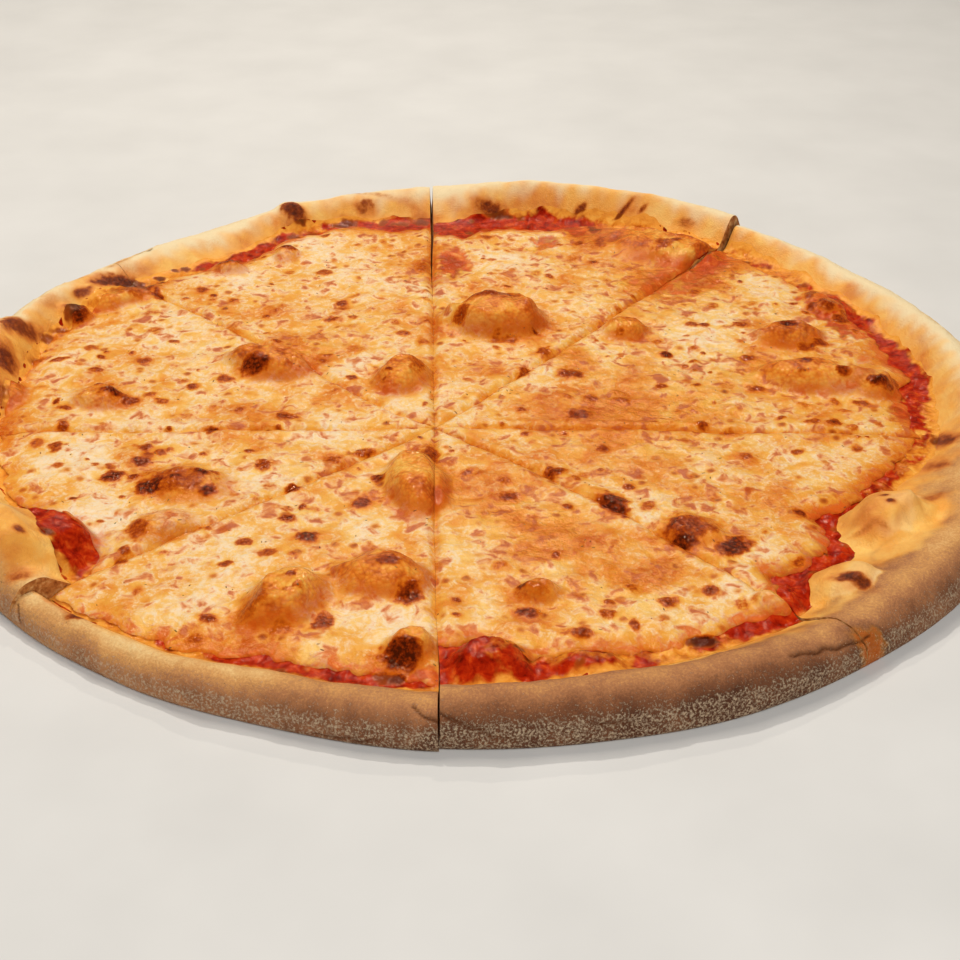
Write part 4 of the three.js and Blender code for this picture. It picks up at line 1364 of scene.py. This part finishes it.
def coarse_semolina():
    """Grains of hard wheat from the baker's board: dull, dry and creamy."""
    material, tree = new_material("coarse_semolina")
    place = add(tree, "ShaderNodeTexCoord").outputs["Object"]

    # Grains that lie within about 1.5 mm of each other have the same shade.
    lots = add(tree, "ShaderNodeTexNoise", {"Vector": place, "Scale": per_size(1.5), "Detail": 1})
    colour = add(tree, "ShaderNodeValToRGB", {0: lots.outputs["Fac"]}, stops=[
        (0.35, "#7c5a40"), (0.5, "#a27c5a"), (0.65, "#c6a27e"),
    ]).outputs["Color"]
    shader = add(tree, "ShaderNodeBsdfPrincipled", {"Base Color": colour, "Roughness": 0.85, "IOR": 1.4})
    add(tree, "ShaderNodeOutputMaterial", {"Surface": shader.outputs[0]})
    return material


def dried_herbs():
    """Flakes of dried herb that took up oil in the oven: dark green to brown."""
    material, tree = new_material("oiled_dried_herb")
    place = add(tree, "ShaderNodeTexCoord").outputs["Object"]

    # The shade changes every 4 mm, which is about from one flake to the next.
    lots = add(tree, "ShaderNodeTexNoise", {"Vector": place, "Scale": per_size(4), "Detail": 1})
    colour = add(tree, "ShaderNodeValToRGB", {0: lots.outputs["Fac"]}, stops=[
        (0.4, "#74602e"), (0.5, "#8a4e22"), (0.6, "#6a401c"),
    ]).outputs["Color"]
    shader = add(tree, "ShaderNodeBsdfPrincipled", {"Base Color": colour, "Roughness": 0.55, "IOR": 1.4})
    add(tree, "ShaderNodeOutputMaterial", {"Surface": shader.outputs[0]})
    return material


# ---- What is strewn on the pizza -------------------------------------------------


def strewing_tree(material):
    """Strews grains over a surface, thickest where its points' number "strewn" is 1."""
    tree = bpy.data.node_groups.new("strewing", "GeometryNodeTree")
    for label, way, kind in (
        ("Surface", "INPUT", "NodeSocketGeometry"),
        ("Grains per square metre", "INPUT", "NodeSocketFloat"),
        ("Smallest half size", "INPUT", "NodeSocketVector"),
        ("Largest half size", "INPUT", "NodeSocketVector"),
        ("Seed", "INPUT", "NodeSocketInt"),
        ("Grains", "OUTPUT", "NodeSocketGeometry"),
    ):
        tree.interface.new_socket(name=label, in_out=way, socket_type=kind)
    given = add(tree, "NodeGroupInput").outputs
    strewn = add(tree, "GeometryNodeInputNamedAttribute", {"Name": "strewn"}, data_type="FLOAT")
    density = add(tree, "ShaderNodeMath", {
        0: strewn.outputs["Attribute"], 1: given["Grains per square metre"],
    }, operation="MULTIPLY")
    spread = add(tree, "GeometryNodeDistributePointsOnFaces", {
        "Mesh": given["Surface"], "Density": density.outputs[0], "Seed": given["Seed"],
    })
    size = add(tree, "FunctionNodeRandomValue", {
        0: given["Smallest half size"], 1: given["Largest half size"], "Seed": given["Seed"],
    }, data_type="FLOAT_VECTOR")
    turn = add(tree, "FunctionNodeRandomValue", {3: math.tau, "Seed": given["Seed"]}, data_type="FLOAT")
    spin = add(tree, "ShaderNodeCombineXYZ", {"Z": turn.outputs[1]})
    grain = add(tree, "GeometryNodeMeshIcoSphere", {"Radius": 1.0, "Subdivisions": 1})
    laid = add(tree, "GeometryNodeInstanceOnPoints", {
        "Points": spread.outputs["Points"], "Instance": grain.outputs["Mesh"],
        "Rotation": spread.outputs["Rotation"], "Scale": size.outputs[0],
    })
    turned = add(tree, "GeometryNodeRotateInstances", {
        "Instances": laid.outputs[0], "Rotation": spin.outputs[0], "Local Space": True,
    })
    real = add(tree, "GeometryNodeRealizeInstances", {"Geometry": turned.outputs[0]})
    finished = add(tree, "GeometryNodeSetMaterial", {"Geometry": real.outputs[0], "Material": material})
    add(tree, "NodeGroupOutput", {"Grains": finished.outputs[0]})
    return tree


def strew(name, surfaces, material, slot, **sizes):
    """One piece of many grains on surfaces, each given as points, faces and thickness."""
    places, faces, strewn, count = [], [], [], 0
    for surface_places, surface_faces, thickness in surfaces:
        places.append(surface_places)
        faces.append(surface_faces + count)
        strewn.append(thickness)
        count += len(surface_places)
    strewn = np.concatenate(strewn)
    surface = new_mesh(name, np.concatenate(places), np.concatenate(faces), {"strewn": strewn})
    piece = bpy.data.objects.new(name, surface)
    bpy.context.scene.collection.objects.link(piece)
    strewing = piece.modifiers.new("strewing", "NODES")
    strewing.node_group = strewing_tree(material)
    for socket in strewing.node_group.interface.items_tree:
        label = socket.name.replace(" ", "_").lower()
        if label in sizes:
            strewing[socket.identifier] = sizes[label]
    evaluated = piece.evaluated_get(bpy.context.evaluated_depsgraph_get())
    grains = bpy.data.meshes.new_from_object(evaluated)
    piece.modifiers.remove(strewing)
    piece.data = grains
    grains.name = name
    grains.polygons.foreach_set("use_smooth", np.ones(len(grains.polygons), bool))
    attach(piece, "root")


# ---- The pieces ------------------------------------------------------------------

CRUST = baked_crust()
SHADED_CRUMB = shaded_bread_crumb()
SAUCE = tomato_sauce()
CHEESE = melted_cheese()
crust_surfaces = []
cheese_surfaces = []
for slice_number in range(len(SLICES)):
    one_slice = Slice(slice_number)
    crust_surfaces.append(make_crust(one_slice, [CRUST, SHADED_CRUMB]))
    make_sauce(one_slice, [SAUCE])
    cheese_surfaces.append(make_cheese(one_slice, [CHEESE]))

# Half sizes in metres: grains of 0.2 to 0.5 mm, and flakes up to 2.2 mm long.
strew(
    "semolina_on_crust", crust_surfaces, coarse_semolina(), "crust",
    grains_per_square_metre=420000.0, seed=SEED,
    smallest_half_size=(0.0001, 0.00009, 0.00007), largest_half_size=(0.00026, 0.00022, 0.00018),
)
strew(
    "herb_flakes_on_cheese", cheese_surfaces, dried_herbs(), "cheese",
    grains_per_square_metre=5000.0, seed=SEED + 1,
    smallest_half_size=(0.00022, 0.00016, 0.00012), largest_half_size=(0.0011, 0.0003, 0.0002),
)

# ---- The stage -------------------------------------------------------------------


def pale_floor():
    """Smooth painted board, matt and almost white."""
    material, tree = new_material("matt_painted_board")
    place = add(tree, "ShaderNodeTexCoord").outputs["Object"]
    mottle = add(tree, "ShaderNodeTexNoise", {"Vector": place, "Scale": per_size(60), "Detail": 3})
    colour = add(tree, "ShaderNodeValToRGB", {0: mottle.outputs["Fac"]}, stops=[
        (0.3, "#d5d3cf"), (0.7, "#dcdad6"),
    ]).outputs["Color"]
    shader = add(tree, "ShaderNodeBsdfPrincipled", {"Base Color": colour, "Roughness": 0.75})
    add(tree, "ShaderNodeOutputMaterial", {"Surface": shader.outputs[0]})
    return material


FLOOR_WIDTH = 8  # metres
FLOOR_DROP = 0.0002  # metres, so that the floor and the underside aren't in one plane


def make_floor():
    """A plain floor, which belongs to the picture and not to the part."""
    bpy.ops.mesh.primitive_plane_add(size=FLOOR_WIDTH, location=(0, 0, -FLOOR_DROP))
    floor = bpy.context.object
    floor.name = "floor"
    floor.data.materials.append(pale_floor())
    floor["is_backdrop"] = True


def add_light(name, place, size, watts, colour, gleams=True):
    """A round lamp aimed at the origin, in metres. One that doesn't gleam isn't mirrored
    by what is wet."""
    lamp = bpy.data.lights.new(name, "AREA")
    lamp.shape = "DISK"
    lamp.size = size
    lamp.energy = watts
    lamp.color = linear(colour)[:3]
    light = bpy.data.objects.new(name, lamp)
    light.location = place
    light.rotation_euler = (-Vector(place)).to_track_quat("-Z", "Y").to_euler()
    light.visible_glossy = gleams
    bpy.context.scene.collection.objects.link(light)


def make_lights():
    """Soft light from the back left and the front, two small lamps at the back that
    the wet places mirror, and a faint glow all round."""
    add_light("key_light", (-0.4, 0.45, 1.4), 0.6, 7.5, "#fff6ea", gleams=False)
    add_light("front_light", (0.25, -1.3, 1.1), 0.8, 17.5, "#ffffff", gleams=False)
    add_light("glint_light", (-0.25, 0.7, 1.25), 0.04, 7.6, "#fffaf2")
    add_light("sparkle_light", (0.1, 0.95, 0.95), 0.03, 2.5, "#fff6e8")
    world = bpy.data.worlds.new("soft_room")
    world.use_nodes = True
    background = world.node_tree.nodes["Background"]
    background.inputs["Color"].default_value = linear("#f2efea")
    background.inputs["Strength"].default_value = 0.08
    bpy.context.scene.world = world


# The camera: its degrees above the table and of roll, how far it is from the place on
# the table that it aims at, and its focal length as a share of the picture's width.
CAMERA_ELEVATION = 31.69
CAMERA_ROLL = 0.33
CAMERA_DISTANCE = 653.4
CAMERA_AIM = (2.74, -59.04)
CAMERA_FOCAL = 1595.2 / 960
SENSOR_WIDTH = 36


def make_camera():
    """The camera in front of the pizza, looking down at it."""
    tilt = math.radians(CAMERA_ELEVATION)
    aim = np.array([*(np.array(CAMERA_AIM) + SHIFT), 0])
    forward = np.array([0, math.cos(tilt), -math.sin(tilt)])
    camera = bpy.data.cameras.new("camera")
    camera.lens = CAMERA_FOCAL * SENSOR_WIDTH
    camera.sensor_width = SENSOR_WIDTH
    camera.clip_start = 0.01
    holder = bpy.data.objects.new("camera", camera)
    turn = Vector(forward).to_track_quat("-Z", "Y").to_matrix().to_4x4()
    roll = Matrix.Rotation(math.radians(CAMERA_ROLL), 4, "Z")
    holder.matrix_world = Matrix.Translation((aim - forward * CAMERA_DISTANCE) * METRES) @ turn @ roll
    bpy.context.scene.collection.objects.link(holder)
    bpy.context.scene.camera = holder


make_floor()
make_lights()
make_camera()
bpy.context.scene.view_settings.view_transform = "Standard"

bounds = {"cad": CAD_BOUNDS, "visual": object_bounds()}
{key: [list(corner) for corner in box] for key, box in bounds.items()}
